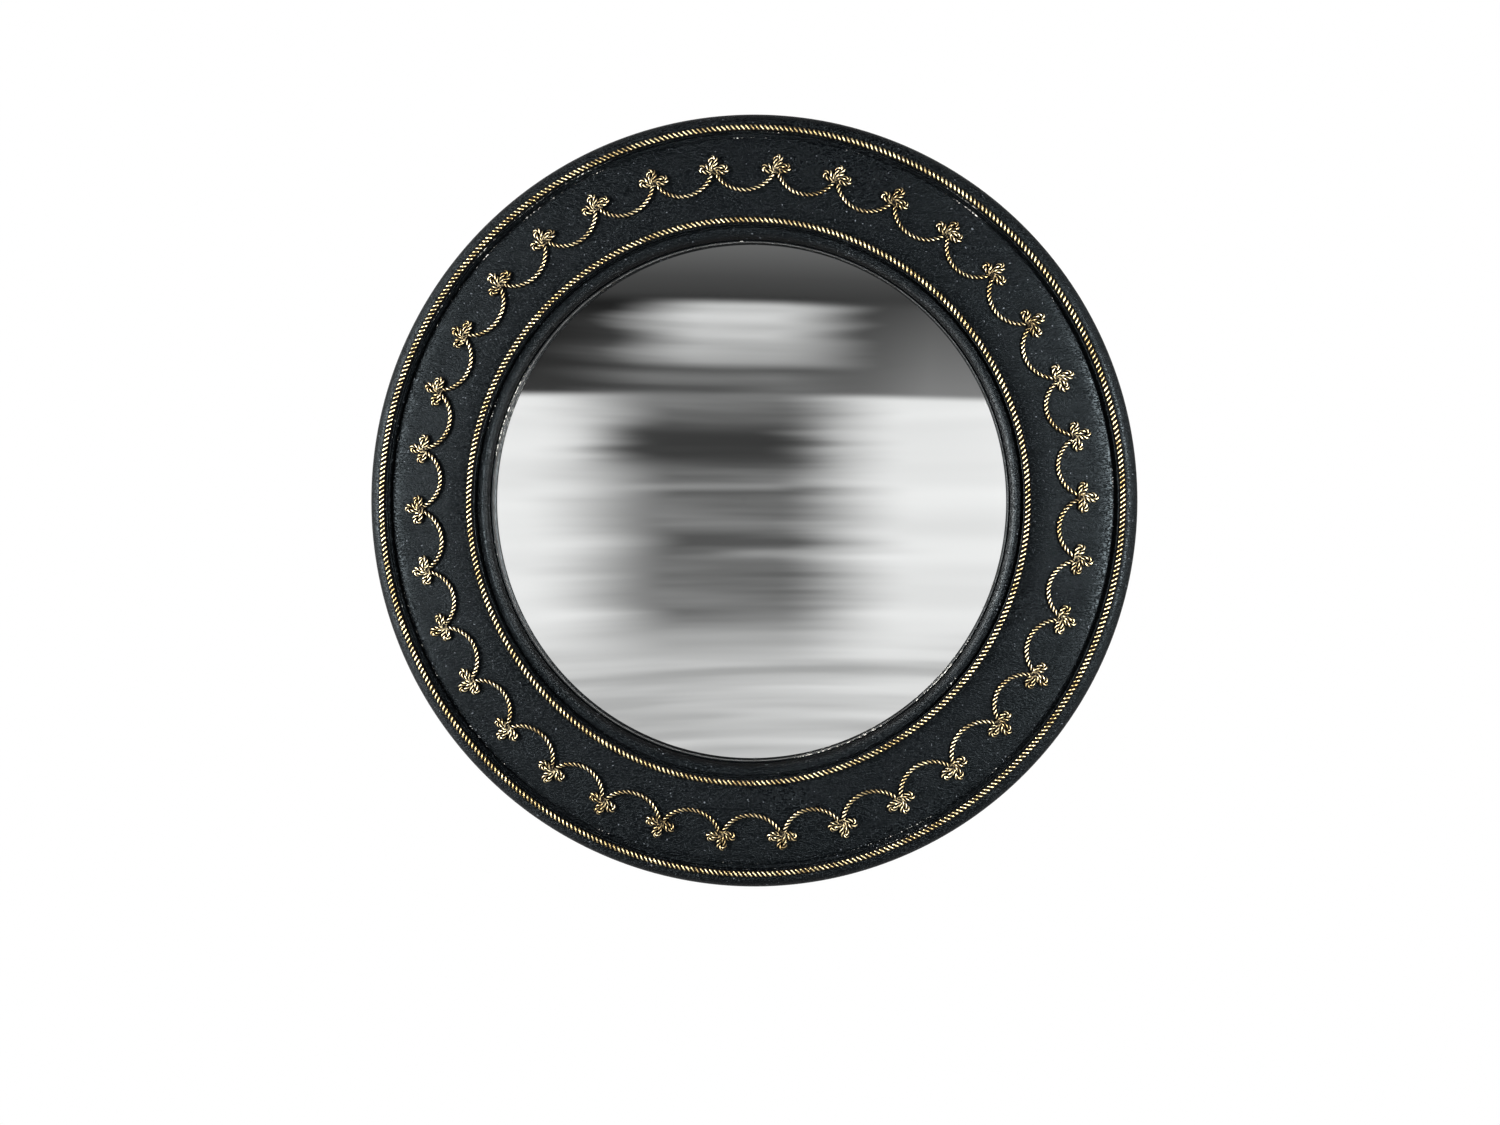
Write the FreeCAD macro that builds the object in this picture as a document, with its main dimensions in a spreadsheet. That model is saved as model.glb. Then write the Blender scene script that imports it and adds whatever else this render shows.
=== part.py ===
"""Round convex mirror in an ebonised wooden frame trimmed with gilt rope.

The mirror hangs on a wall. X is to the right, Z is up and the front looks along -Y.
The origin is the centre of the mirror in the wall plane, so a depth measured forward
from the wall is -Y. All sizes are in millimetres, and all angles in degrees.
"""

import FreeCAD, Part
import math
import os
import re

import Sketcher
from FreeCAD import Placement, Rotation, Vector

PARTS_FOLDER = "parts"

SIZES = [
    # The two turned rings that are glued together to make the frame.
    ("frame_radius", 300.0, "outline of the round frame"),
    ("sight_radius", 202.0, "edge of the glass that shows"),
    ("wall_gap", 6.0, "thickness of the pads between the frame and the wall"),
    ("back_ring_depth", 22.0, "thickness of the back ring"),
    ("side_height", 1.5, "straight side of the face ring above the glue line"),
    ("shoulder_width", 9.2, "rounded outer shoulder of the face ring, from the front"),
    ("shoulder_rise", 6.0, "the same shoulder, from its foot to the rim"),
    ("rim_land", 5.4, "flat on the rim that carries the outer rope"),
    ("rim_quirk_width", 3.2, "groove inside the outer rope"),
    ("rim_quirk_depth", 4.5, "depth of that groove below the rim"),
    ("crest_rise", 5.0, "crest of the frame above its rim"),
    ("frieze_slope", 7.0, "fall of the frieze where it carries the garland, degrees"),
    ("frieze_edge_slope", 16.0, "fall of the frieze at its outer edge, degrees"),
    ("frieze_inner_round", 16.0, "width of the rounding next to the crest"),
    ("frieze_outer_round", 12.2, "width of the rounding next to the rim"),
    ("crest_land", 7.0, "flat on the crest that carries the inner rope"),
    ("crest_quirk_width", 2.0, "groove inside the inner rope"),
    ("crest_quirk_depth", 5.0, "depth of that groove below the crest"),
    ("bevel_drop", 2.0, "top of the inner bevel below the crest"),
    ("bevel_width", 8.6, "inner bevel, seen from the front"),
    ("lip_thickness", 4.5, "wood left above the slip at the sight edge"),
    ("glass_seat", 12.5, "hollow that holds the glass, outside the sight edge"),
    ("board_step", 9.0, "hollow that holds the backboard, outside that one"),
    ("board_rebate_depth", 4.4, "depth of the backboard's hollow"),
    # Rope trim.
    ("ring_rope_diameter", 5.4, "rope of the two plain rings"),
    ("rope_inset", 0.5, "ring rope from the edge of its land"),
    ("glue_gap", 0.1, "glue under the rope trim"),
    ("garland_rope_diameter", 3.4, "finer rope of the garland"),
    ("garland_count", 34.0, "number of swags, and of trefoils"),
    ("garland_angle", 4.5, "first knot clockwise from the top, degrees"),
    ("garland_offset", 3.1, "knots outside the middle of the frieze"),
    ("swag_drop", 15.5, "swag from the knots to its lowest point"),
    ("swag_spread", 1.5, "start of each swag from the middle of its knot"),
    ("loop_reach", 12.0, "trefoil loop from the knot to its far end"),
    ("loop_end_radius", 2.2, "bend at the far end of a loop"),
    ("side_loop_angle", 76.0, "side loops from the outward one, degrees"),
    ("knot_radius", 2.1, "hump where the ropes cross"),
    # Glass and what holds it.
    ("slip_reveal", 1.4, "black slip that shows round the glass"),
    ("slip_rise", 1.6, "slip above the glue line"),
    ("slip_edge", 3.0, "thickness of the slip at the sight edge"),
    ("slip_fit", 0.3, "play round the slip"),
    ("felt_thickness", 0.8, "felt between slip and glass"),
    ("glass_curve_radius", 900.0, "radius of the bulging front of the glass"),
    ("glass_thickness", 3.0, "convex glass"),
    ("glass_play", 3.0, "glass rim from the wall of its hollow"),
    ("glass_gap", 0.15, "glass from its felt, and from the blocks behind it"),
    ("block_count", 8.0, "wooden blocks behind the glass rim"),
    ("block_angle", 7.0, "length of one block, degrees"),
    ("block_width", 12.5, "radial width of a block"),
    ("block_fit", 0.1, "glue round a block"),
    ("board_thickness", 4.0, "backboard"),
    ("board_play", 0.8, "backboard from the wall of its hollow"),
    # Turn buttons on the back.
    ("button_count", 6.0, "turn buttons that hold the backboard"),
    ("button_setback", 12.0, "pivot of a button outside the board's hollow"),
    ("button_reach", 23.0, "button from its pivot to its tip"),
    ("button_width", 10.0, "button across its round ends"),
    ("button_thickness", 1.2, "stamped plate of a button"),
    ("pivot_clearance", 0.1, "play of a button on its screw and of a ring in its eye"),
    # Screws.
    ("screw_radius", 1.9, "shank"),
    ("screw_fit", 0.05, "hole in the wood round the shank"),
    ("screw_head_radius", 3.6, "round head"),
    ("screw_head_height", 1.9, "round head"),
    ("screw_length", 15.0, "shank below the face of the wood"),
    ("screw_slot", 0.9, "width of the driver slot, which is as deep"),
    ("head_gap", 0.1, "screw head above what it holds"),
    # Ring hangers.
    ("hanger_spacing", 300.0, "between the two hangers"),
    ("hanger_margin", 20.0, "lower strap screw outside the backboard's hollow"),
    ("strap_width", 14.0, "folded strap"),
    ("strap_length", 36.0, "strap below the ring's bar"),
    ("strap_thickness", 2.2, "both layers of the strap"),
    ("strap_wall", 1.1, "metal rolled round the bar"),
    ("strap_screw_near", 10.0, "first screw below the bar"),
    ("strap_screw_pitch", 16.0, "second screw below the first"),
    ("ring_wire_radius", 1.5, "wire of the ring"),
    ("ring_half_width", 10.0, "middle of the wire from the middle of the ring"),
    ("ring_corner_radius", 2.5, "bend where the bar meets the legs"),
    ("ring_leg", 5.0, "straight leg of the ring"),
    ("ring_lean_angle", 2.5, "lean of the ring towards the frame, degrees"),
    # Wall pads.
    ("pad_radius", 8.0, "round pad"),
    ("pad_inset", 38.0, "middle of each pad from the outline of the frame"),
    ("pad_count", 4.0, "number of pads"),
]

# Places and levels that several pieces share, each worked out from the sizes above.
DERIVED = {
    "glass_rebate_radius": "sight_radius + glass_seat",
    "board_rebate_radius": "glass_rebate_radius + board_step",
    "glue_line": "wall_gap + back_ring_depth",
    "rim_top": "glue_line + side_height + shoulder_rise",
    "rim_outer": "frame_radius - shoulder_width",
    "shoulder_curve": "(shoulder_width ^ 2 + shoulder_rise ^ 2) / (2 * shoulder_rise)",
    "rim_inner": "rim_outer - rim_land",
    "frieze_outer": "rim_inner - rim_quirk_width",
    "lip_radius": "sight_radius + slip_reveal",
    "bevel_outer": "lip_radius + bevel_width",
    "crest_inner": "bevel_outer + crest_quirk_width",
    "frieze_inner": "crest_inner + crest_land",
    "crest_top": "rim_top + crest_rise",
    "cone_inner": "frieze_inner + frieze_inner_round",
    "cone_outer": "frieze_outer - frieze_outer_round",
    "inner_round_radius": "frieze_inner_round / sin(frieze_slope * 1deg)",
    "cone_top": "crest_top - inner_round_radius * (1 - cos(frieze_slope * 1deg))",
    "cone_foot": "cone_top - (cone_outer - cone_inner) * tan(frieze_slope * 1deg)",
    "outer_round_radius": "frieze_outer_round"
    " / (sin(frieze_edge_slope * 1deg) - sin(frieze_slope * 1deg))",
    "frieze_foot": "cone_foot - outer_round_radius"
    " * (cos(frieze_slope * 1deg) - cos(frieze_edge_slope * 1deg))",
    "ring_rope_radius": "ring_rope_diameter / 2",
    "garland_rope_radius": "garland_rope_diameter / 2",
    "board_ledge": "wall_gap + board_rebate_depth",
    "board_radius": "board_rebate_radius - board_play",
    "glass_rim": "glass_rebate_radius - glass_play",
    "bed_radius": "(sight_radius + glass_rim) / 2",
    "bed_slope": "asin(bed_radius / glass_curve_radius)",
    "slip_front": "glue_line + slip_rise",
    "slip_back": "slip_front - slip_edge",
    "slip_outer": "glass_rebate_radius - slip_fit",
    "felt_drop": "felt_thickness / cos(bed_slope)",
    "bed_depth": "slip_back - (bed_radius - sight_radius) * tan(bed_slope)"
    " - felt_drop - glass_gap",
    "glass_centre": "bed_depth - sqrt(glass_curve_radius ^ 2 - bed_radius ^ 2)",
    "glass_back_radius": "glass_curve_radius - glass_thickness",
    "glass_rim_back": "glass_centre + sqrt(glass_back_radius ^ 2 - glass_rim ^ 2)",
    "button_pivot": "board_rebate_radius + button_setback",
    "button_top": "wall_gap - button_thickness",
    "knuckle_radius": "ring_wire_radius + pivot_clearance + strap_wall",
    "bar_depth": "wall_gap - knuckle_radius",
    "bar_height": "sqrt((board_rebate_radius + hanger_margin) ^ 2 - hanger_spacing ^ 2 / 4)"
    " + strap_screw_near + strap_screw_pitch",
}

doc = FreeCAD.newDocument("ConvexMirror")
sheet = doc.addObject("Spreadsheet::Sheet", "Sizes")
for row, (alias, value, note) in enumerate(SIZES, start=1):
    sheet.set(f"A{row}", note)
    sheet.set(f"B{row}", str(value))
    sheet.setAlias(f"B{row}", alias)
doc.recompute()


def bound(text):
    """Turns names of sizes and of derived places into an expression on the sheet."""

    def name(match):
        word = match.group(0)
        if word in DERIVED:
            return f"({bound(DERIVED[word])})"
        if word in ALIASES:
            return f"Sizes.{word}"
        return word

    return re.sub(r"[a-z_]+", name, str(text))


ALIASES = {alias for alias, _, _ in SIZES}


def number(text):
    """The present value of an expression."""
    value = sheet.evalExpression(bound(text))
    return float(getattr(value, "Value", value))


def new_body(label):
    body = doc.addObject("PartDesign::Body", label)
    body.Label = label
    return body


def origin_feature(body, role):
    return next(f for f in body.Origin.OriginFeatures if f.Role == role)


def new_sketch(body, plane, offset=None):
    """A sketch on one of the body's own planes, moved along the plane's normal."""
    sketch = body.newObject("Sketcher::SketchObject", f"{body.Label}_sketch")
    sketch.AttachmentSupport = (origin_feature(body, plane), [""])
    sketch.MapMode = "FlatFace"
    if offset is not None:
        sketch.setExpression("AttachmentOffset.Base.z", bound(offset))
    doc.recompute()
    return sketch


def hold(sketch, kind, *where_and_text):
    """Adds a dimension to a sketch, bound to an expression."""
    *where, text = where_and_text
    index = sketch.addConstraint(Sketcher.Constraint(kind, *where, number(text)))
    sketch.setExpression(f"Constraints[{index}]", bound(text))


def add_circle(sketch, x, y, radius):
    index = sketch.addGeometry(
        Part.Circle(Vector(number(x), number(y), 0), Vector(0, 0, 1), number(radius))
    )
    hold(sketch, "DistanceX", -1, 1, index, 3, x)
    hold(sketch, "DistanceY", -1, 1, index, 3, y)
    hold(sketch, "Radius", index, radius)


def add_outline(sketch, corners):
    """Joins corners in a closed outline, with an arc where a corner gives a radius.

    A corner is (x, y), or (x, y, radius, side) for an arc that ends there. side is +1
    where the arc's centre lies to the left of the way from the last corner, else -1.
    """
    spots = [Vector(number(c[0]), number(c[1]), 0) for c in corners]
    count = len(corners)
    spans = []
    arcs = []
    for k in range(count):
        start, end = spots[k], spots[(k + 1) % count]
        target = corners[(k + 1) % count]
        if len(target) == 2:
            index = sketch.addGeometry(Part.LineSegment(start, end))
            spans.append((index, 1, 2))
            continue
        radius, side = number(target[2]), target[3]
        chord = end - start
        left = Vector(-chord.y, chord.x, 0).normalize()
        rise = math.sqrt(max(radius**2 - chord.Length**2 / 4, 0))
        middle = start + chord / 2 + left * side * (rise - radius)
        index = sketch.addGeometry(Part.Arc(start, middle, end))
        ends = (1, 2) if side > 0 else (2, 1)
        spans.append((index, *ends))
        arcs.append((index, target, chord.Length > 1.999 * radius))
    for k, (index, _, last) in enumerate(spans):
        after = spans[(k + 1) % count]
        sketch.addConstraint(
            Sketcher.Constraint("Coincident", index, last, after[0], after[1])
        )
    for k, corner in enumerate(corners):
        index, point, _ = spans[k]
        hold(sketch, "DistanceX", -1, 1, index, point, corner[0])
        hold(sketch, "DistanceY", -1, 1, index, point, corner[1])
    for index, corner, half_circle in arcs:
        if half_circle:
            hold(sketch, "DistanceY", -1, 1, index, 3, corner[1])
        else:
            hold(sketch, "Radius", index, corner[2])


def turned(body, corners):
    """Revolves a section given as (radius, depth from the wall) about the Y axis."""
    sketch = new_sketch(body, "XY_Plane")
    section = [(c[0], f"-({c[1]})", *c[2:]) for c in corners]
    add_outline(sketch, section)
    revolution = body.newObject("PartDesign::Revolution", f"{body.Label}_turning")
    revolution.Profile = sketch
    revolution.ReferenceAxis = (sketch, ["V_Axis"])
    revolution.Angle = 360
    doc.recompute()
    return revolution


def polar(body, features, count):
    """Repeats features evenly about the Y axis."""
    pattern = body.newObject("PartDesign::PolarPattern", f"{body.Label}_pattern")
    pattern.Originals = features
    pattern.Axis = (origin_feature(body, "Y_Axis"), [""])
    pattern.Angle = 360
    pattern.setExpression("Occurrences", bound(count))
    body.Tip = pattern
    doc.recompute()
    return pattern


def pad(body, sketch, length, midplane=False, reverse=False):
    feature = body.newObject("PartDesign::Pad", f"{body.Label}_pad")
    feature.Profile = sketch
    feature.Midplane = midplane
    feature.Reversed = reverse
    feature.setExpression("Length", bound(length))
    doc.recompute()
    return feature


def pocket(body, sketch, length, reverse=False):
    feature = body.newObject("PartDesign::Pocket", f"{body.Label}_pocket")
    feature.Profile = sketch
    feature.Reversed = reverse
    feature.setExpression("Length", bound(length))
    doc.recompute()
    return feature


def face_ring():
    """Front of the frame: rim, frieze, crest and inner bevel turned in one piece."""
    body = new_body("face_ring")
    shoulder_foot = "glue_line + side_height"
    turned(
        body,
        [
            ("lip_radius", "glue_line"),
            ("frame_radius", "glue_line"),
            ("frame_radius", shoulder_foot),
            ("rim_outer", "rim_top", "shoulder_curve", -1),
            ("rim_inner", "rim_top"),
            ("rim_inner", "rim_top - rim_quirk_depth"),
            ("frieze_outer", "rim_top - rim_quirk_depth"),
            ("frieze_outer", "frieze_foot"),
            ("cone_outer", "cone_foot", "outer_round_radius", -1),
            ("cone_inner", "cone_top"),
            ("frieze_inner", "crest_top", "inner_round_radius", -1),
            ("crest_inner", "crest_top"),
            ("crest_inner", "crest_top - crest_quirk_depth"),
            ("bevel_outer", "crest_top - crest_quirk_depth"),
            ("bevel_outer", "crest_top - bevel_drop"),
            ("lip_radius", "glue_line + lip_thickness"),
        ],
    )
    return body


def strap_screw_heights():
    """The two strap screws of a hanger, as heights on its upright centre line."""
    first = "bar_height - strap_screw_near"
    return [first, f"{first} - strap_screw_pitch"]


def back_ring():
    """Back of the frame, hollowed for the glass and, wider, for the backboard."""
    body = new_body("back_ring")
    turned(
        body,
        [
            ("board_rebate_radius", "wall_gap"),
            ("frame_radius", "wall_gap"),
            ("frame_radius", "glue_line"),
            ("glass_rebate_radius", "glue_line"),
            ("glass_rebate_radius", "board_ledge"),
            ("board_rebate_radius", "board_ledge"),
        ],
    )
    strap_holes = new_sketch(body, "XZ_Plane", "wall_gap")
    for side in ("-", ""):
        for height in strap_screw_heights():
            add_circle(
                strap_holes,
                f"{side}hanger_spacing / 2",
                height,
                "screw_radius + screw_fit",
            )
    pocket(body, strap_holes, "screw_length + screw_fit", reverse=True)
    button_hole = new_sketch(body, "XZ_Plane", "wall_gap")
    add_circle(button_hole, "0", "button_pivot", "screw_radius + screw_fit")
    hole = pocket(body, button_hole, "screw_length + screw_fit", reverse=True)
    polar(body, [hole], "button_count")
    return body


def ring_rope(label, land_edge, land_level):
    """A plain ring of rope lying on its flat, drawn as the round bar it fills."""
    body = new_body(label)
    sketch = new_sketch(body, "XY_Plane")
    add_circle(
        sketch,
        f"{land_edge} + rope_inset + ring_rope_radius",
        f"-({land_level} + glue_gap + ring_rope_radius)",
        "ring_rope_radius",
    )
    revolution = body.newObject("PartDesign::Revolution", f"{label}_turning")
    revolution.Profile = sketch
    revolution.ReferenceAxis = (sketch, ["V_Axis"])
    revolution.Angle = 360
    doc.recompute()
    return body


def bent_rod(start, end, centre, radius):
    """A round rod along the arc from start to end about centre, in the plane z = 0."""
    arm, last = start - centre, end - centre
    turn = arm.getAngle(last)
    axis = arm.cross(last).normalize()
    along = axis.cross(arm).normalize()
    disc = Part.Face(Part.Wire(Part.makeCircle(radius, start, along)))
    return disc.revolve(centre, axis, math.degrees(turn))


def straight_rod(start, end, radius):
    return Part.makeCylinder(radius, (end - start).Length, start, end - start)


def swag_half(knot_radius_from_axis, side):
    """Half a swag, from its knot to the lowest point that it shares with the next one.

    The swag is one arc. It meets its neighbour square to the radius that parts the two,
    which with its start at the knot settles the arc's centre.
    """
    half_pitch = math.pi / number("garland_count")
    low = knot_radius_from_axis - number("swag_drop")
    inward = Vector(math.sin(half_pitch), math.cos(half_pitch), 0)
    end = inward * low - Vector(0, knot_radius_from_axis, 0)
    start = Vector(number("swag_spread"), 0, 0)
    gap = start - end
    bend = gap.dot(gap) / (2 * gap.dot(inward))
    centre = end + inward * bend
    mirror = Vector(side, 1, 1)

    def placed(point):
        return Vector(point.x * mirror.x, point.y, 0)

    return bent_rod(
        placed(end), placed(start), placed(centre), number("garland_rope_radius")
    )


def loop(angle):
    """A narrow loop of rope that leaves the knot, bends round and comes back."""
    rope = number("garland_rope_radius")
    bend = number("loop_end_radius")
    far = number("loop_reach") - bend
    slant = math.asin(bend / far)
    knot = Vector(0, 0, 0)
    tip = Vector(0, far + bend, 0)
    middle = Vector(0, far, 0)
    leg = far * math.cos(slant)
    pieces = []
    for side in (-1, 1):
        touch = Vector(side * leg * math.sin(slant), leg * math.cos(slant), 0)
        pieces.append(straight_rod(knot, touch, rope))
        pieces.append(bent_rod(touch, tip, middle, rope))
    turn = Placement(Vector(0, 0, 0), Rotation(Vector(0, 0, 1), -angle))
    for piece in pieces:
        piece.Placement = turn.multiply(piece.Placement)
    return pieces


def garland():
    """Swags and trefoils of fine rope round the sloping frieze.

    One repeat is a trefoil with half a swag on each side. It is drawn flat, x along
    the frame and y outwards, and then laid on the slope of the frieze.
    """
    knot_at = number("(cone_inner + cone_outer) / 2 + garland_offset")
    slope = number("frieze_slope")
    lift = number("garland_rope_radius + glue_gap")
    level = number("cone_top") - (knot_at - number("cone_inner")) * math.tan(
        math.radians(slope)
    )
    pieces = [Part.makeSphere(number("knot_radius"))]
    for side in (-1, 1):
        pieces.append(swag_half(knot_at, side))
    for angle in (-number("side_loop_angle"), 0, number("side_loop_angle")):
        pieces += loop(angle)
    repeat = pieces[0].multiFuse(pieces[1:]).removeSplitter()
    under = number("knot_radius") * 2
    floor = Part.makeBox(
        4 * knot_at,
        4 * knot_at,
        under,
        Vector(-2 * knot_at, -2 * knot_at, -number("garland_rope_radius") - under),
    )
    repeat = repeat.cut(floor).Solids[0]
    lean = Rotation(Vector(1, 0, 0), 90 - slope)
    out = lean.multVec(Vector(0, 0, 1))
    seat = Placement(Vector(0, -level, knot_at) + out * lift, lean)
    copies = []
    repeats = round(number("garland_count"))
    first = number("garland_angle")
    for k in range(repeats):
        copy = repeat.copy()
        spin = Placement(
            Vector(0, 0, 0), Rotation(Vector(0, 1, 0), first + 360.0 * k / repeats)
        )
        copy.Placement = spin.multiply(seat)
        copies.append(copy)
    feature = doc.addObject("Part::Feature", "rope_garland")
    feature.Label = "rope_garland"
    feature.Shape = Part.makeCompound(copies)
    return feature


def sight_slip():
    """Thin black slip round the glass, its back sloped to bed the glass."""
    body = new_body("sight_slip")
    turned(
        body,
        [
            ("sight_radius", "slip_front"),
            ("lip_radius - slip_fit", "slip_front"),
            ("lip_radius - slip_fit", "glue_line"),
            ("slip_outer", "glue_line"),
            ("slip_outer", "slip_back - (slip_outer - sight_radius) * tan(bed_slope)"),
            ("sight_radius", "slip_back"),
        ],
    )
    return body


def felt_ring():
    """Felt between the slip and the glass."""
    body = new_body("felt_ring")
    fall = "(glass_rim - sight_radius) * tan(bed_slope)"
    turned(
        body,
        [
            ("sight_radius", "slip_back"),
            ("glass_rim", f"slip_back - {fall}"),
            ("glass_rim", f"slip_back - {fall} - felt_drop"),
            ("sight_radius", "slip_back - felt_drop"),
        ],
    )
    return body


def convex_glass():
    """Bulging plate of silvered glass, the same thickness all over."""
    body = new_body("convex_glass")
    turned(
        body,
        [
            ("0", "glass_centre + glass_back_radius"),
            ("glass_rim", "glass_rim_back", "glass_back_radius", 1),
            (
                "glass_rim",
                "glass_centre + sqrt(glass_curve_radius ^ 2 - glass_rim ^ 2)",
            ),
            ("0", "glass_centre + glass_curve_radius", "glass_curve_radius", -1),
        ],
    )
    return body


def glass_blocks():
    """Small wooden blocks glued behind the glass rim to keep it in its bed."""
    body = new_body("glass_blocks")
    outer = "glass_rebate_radius - block_fit"
    back = "board_ledge + glass_gap"
    front = "glass_rim_back - glass_gap"
    sketch = new_sketch(body, "XY_Plane")
    add_outline(
        sketch,
        [
            (f"{outer} - block_width", f"-({back})"),
            (outer, f"-({back})"),
            (outer, f"-({front})"),
            (f"{outer} - block_width", f"-({front})"),
        ],
    )
    block = body.newObject("PartDesign::Revolution", "block_turning")
    block.Profile = sketch
    block.ReferenceAxis = (sketch, ["V_Axis"])
    block.Midplane = True
    block.setExpression("Angle", bound("block_angle"))
    doc.recompute()
    polar(body, [block], "block_count")
    return body


def backboard():
    """Plain round board that closes the back."""
    body = new_body("backboard")
    sketch = new_sketch(body, "XZ_Plane", "board_ledge - board_thickness")
    add_circle(sketch, "0", "0", "board_radius")
    pad(body, sketch, "board_thickness")
    return body


def turn_button(index):
    """Flat brass button that swings over the edge of the backboard."""
    body = new_body(f"turn_button_{index + 1}")
    half = "button_width / 2"
    sketch = new_sketch(body, "XZ_Plane", "button_top")
    tip = f"button_pivot - button_reach + {half}"
    add_outline(
        sketch,
        [
            (half, "button_pivot"),
            (f"-({half})", "button_pivot", half, 1),
            (f"-({half})", tip),
            (half, tip, half, 1),
        ],
    )
    add_circle(sketch, "0", "button_pivot", "screw_radius + pivot_clearance")
    pad(body, sketch, "button_thickness")
    turn = 360 * index / number("button_count")
    body.Placement = Placement(Vector(0, 0, 0), Rotation(Vector(0, 1, 0), turn))
    body.setExpression("Placement.Rotation.Angle", bound(f"360 / button_count * {index}"))
    return body


def screw(body, x, height, seat_level):
    """Slotted round-head screw driven into the back ring from behind.

    seat_level is the depth of the face under its head.
    """
    axis_plane = new_sketch(body, "XY_Plane", height)
    under_head = f"{seat_level} - head_gap"
    top = f"{under_head} - screw_head_height"
    dome = "(screw_head_radius ^ 2 + screw_head_height ^ 2) / (2 * screw_head_height)"
    add_outline(
        axis_plane,
        [
            (x, f"-(wall_gap + screw_length)"),
            (f"{x} + screw_radius", f"-(wall_gap + screw_length - screw_radius)"),
            (f"{x} + screw_radius", f"-({under_head})"),
            (f"{x} + screw_head_radius", f"-({under_head})"),
            (x, f"-({top})", dome, 1),
        ],
    )
    turning = body.newObject("PartDesign::Revolution", f"{body.Label}_screw")
    turning.Profile = axis_plane
    ends = [f"-({top})", "-(wall_gap + screw_length)"]
    spots = [Vector(number(x), number(end), 0) for end in ends]
    line = axis_plane.addGeometry(Part.LineSegment(*spots), True)
    for point, end in enumerate(ends, start=1):
        hold(axis_plane, "DistanceX", -1, 1, line, point, x)
        hold(axis_plane, "DistanceY", -1, 1, line, point, end)
    turning.ReferenceAxis = (axis_plane, ["Axis0"])
    turning.Angle = 360
    doc.recompute()
    slot_sketch = new_sketch(body, "XZ_Plane", f"{top}")
    half_slot = "screw_slot / 2"
    half_run = "screw_head_radius * 1.2"
    add_outline(
        slot_sketch,
        [
            (f"{x} - {half_run}", f"{height} - {half_slot}"),
            (f"{x} + {half_run}", f"{height} - {half_slot}"),
            (f"{x} + {half_run}", f"{height} + {half_slot}"),
            (f"{x} - {half_run}", f"{height} + {half_slot}"),
        ],
    )
    slot = pocket(body, slot_sketch, "screw_slot", reverse=True)
    return turning, slot


def button_screws():
    body = new_body("button_screws")
    features = screw(body, "0", "button_pivot", "button_top")
    polar(body, list(features), "button_count")
    return body


def hanger_strap(side, sign):
    """Folded strap, rolled round the bar of its ring and screwed to the frame."""
    body = new_body(f"{side}_hanger_strap")
    plate = new_sketch(body, "YZ_Plane", f"{sign}hanger_spacing / 2")
    add_outline(
        plate,
        [
            ("-wall_gap", "bar_height - strap_length"),
            ("-(wall_gap - strap_thickness)", "bar_height - strap_length"),
            ("-(wall_gap - strap_thickness)", "bar_height"),
            ("-wall_gap", "bar_height"),
        ],
    )
    pad(body, plate, "strap_width", midplane=True)
    knuckle = new_sketch(body, "YZ_Plane", f"{sign}hanger_spacing / 2")
    add_circle(knuckle, "-bar_depth", "bar_height", "knuckle_radius")
    pad(body, knuckle, "strap_width", midplane=True)
    eye = new_sketch(body, "YZ_Plane", f"{sign}hanger_spacing / 2 - strap_width")
    add_circle(eye, "-bar_depth", "bar_height", "ring_wire_radius + pivot_clearance")
    pocket(body, eye, "2 * strap_width", reverse=True)
    holes = new_sketch(body, "XZ_Plane", "wall_gap - strap_thickness")
    for height in strap_screw_heights():
        add_circle(
            holes, f"{sign}hanger_spacing / 2", height, "screw_radius + screw_fit"
        )
    pocket(body, holes, "strap_thickness", reverse=True)
    return body


def hanger_ring(side, sign):
    """D-shaped wire ring that swings on its straight bar."""
    body = new_body(f"{side}_hanger_ring")
    path = new_sketch(body, "XY_Plane")
    straight = "ring_half_width - ring_corner_radius"
    top = "ring_corner_radius + ring_leg"
    add_outline(
        path,
        [
            (straight, "0"),
            ("ring_half_width", "ring_corner_radius", "ring_corner_radius", 1),
            ("ring_half_width", top),
            ("-ring_half_width", top, "ring_half_width", 1),
            ("-ring_half_width", "ring_corner_radius"),
            (f"-({straight})", "0", "ring_corner_radius", 1),
        ],
    )
    section = new_sketch(body, "YZ_Plane")
    add_circle(section, "0", "0", "ring_wire_radius")
    pipe = body.newObject("PartDesign::AdditivePipe", f"{side}_ring_pipe")
    pipe.Profile = section
    pipe.Spine = path
    doc.recompute()
    upright = Rotation(Vector(1, 0, 0), 90 + number("ring_lean_angle"))
    body.Placement = Placement(Vector(0, 0, 0), upright)
    body.setExpression("Placement.Base.x", bound(f"{sign}hanger_spacing / 2"))
    body.setExpression("Placement.Base.y", bound("-bar_depth"))
    body.setExpression("Placement.Base.z", bound("bar_height"))
    body.setExpression("Placement.Rotation.Angle", bound("90 + ring_lean_angle"))
    return body


def hanger_screws(side, sign):
    body = new_body(f"{side}_hanger_screws")
    for height in strap_screw_heights():
        screw(
            body, f"{sign}hanger_spacing / 2", height, "(wall_gap - strap_thickness)"
        )
    return body


def wall_pads():
    """Round rubber pads, halfway between the upright and the level."""
    body = new_body("wall_pads")
    sketch = new_sketch(body, "XZ_Plane")
    diagonal = "(frame_radius - pad_inset) / sqrt(2)"
    add_circle(sketch, diagonal, diagonal, "pad_radius")
    disc = pad(body, sketch, "wall_gap")
    polar(body, [disc], "pad_count")
    return body


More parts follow.
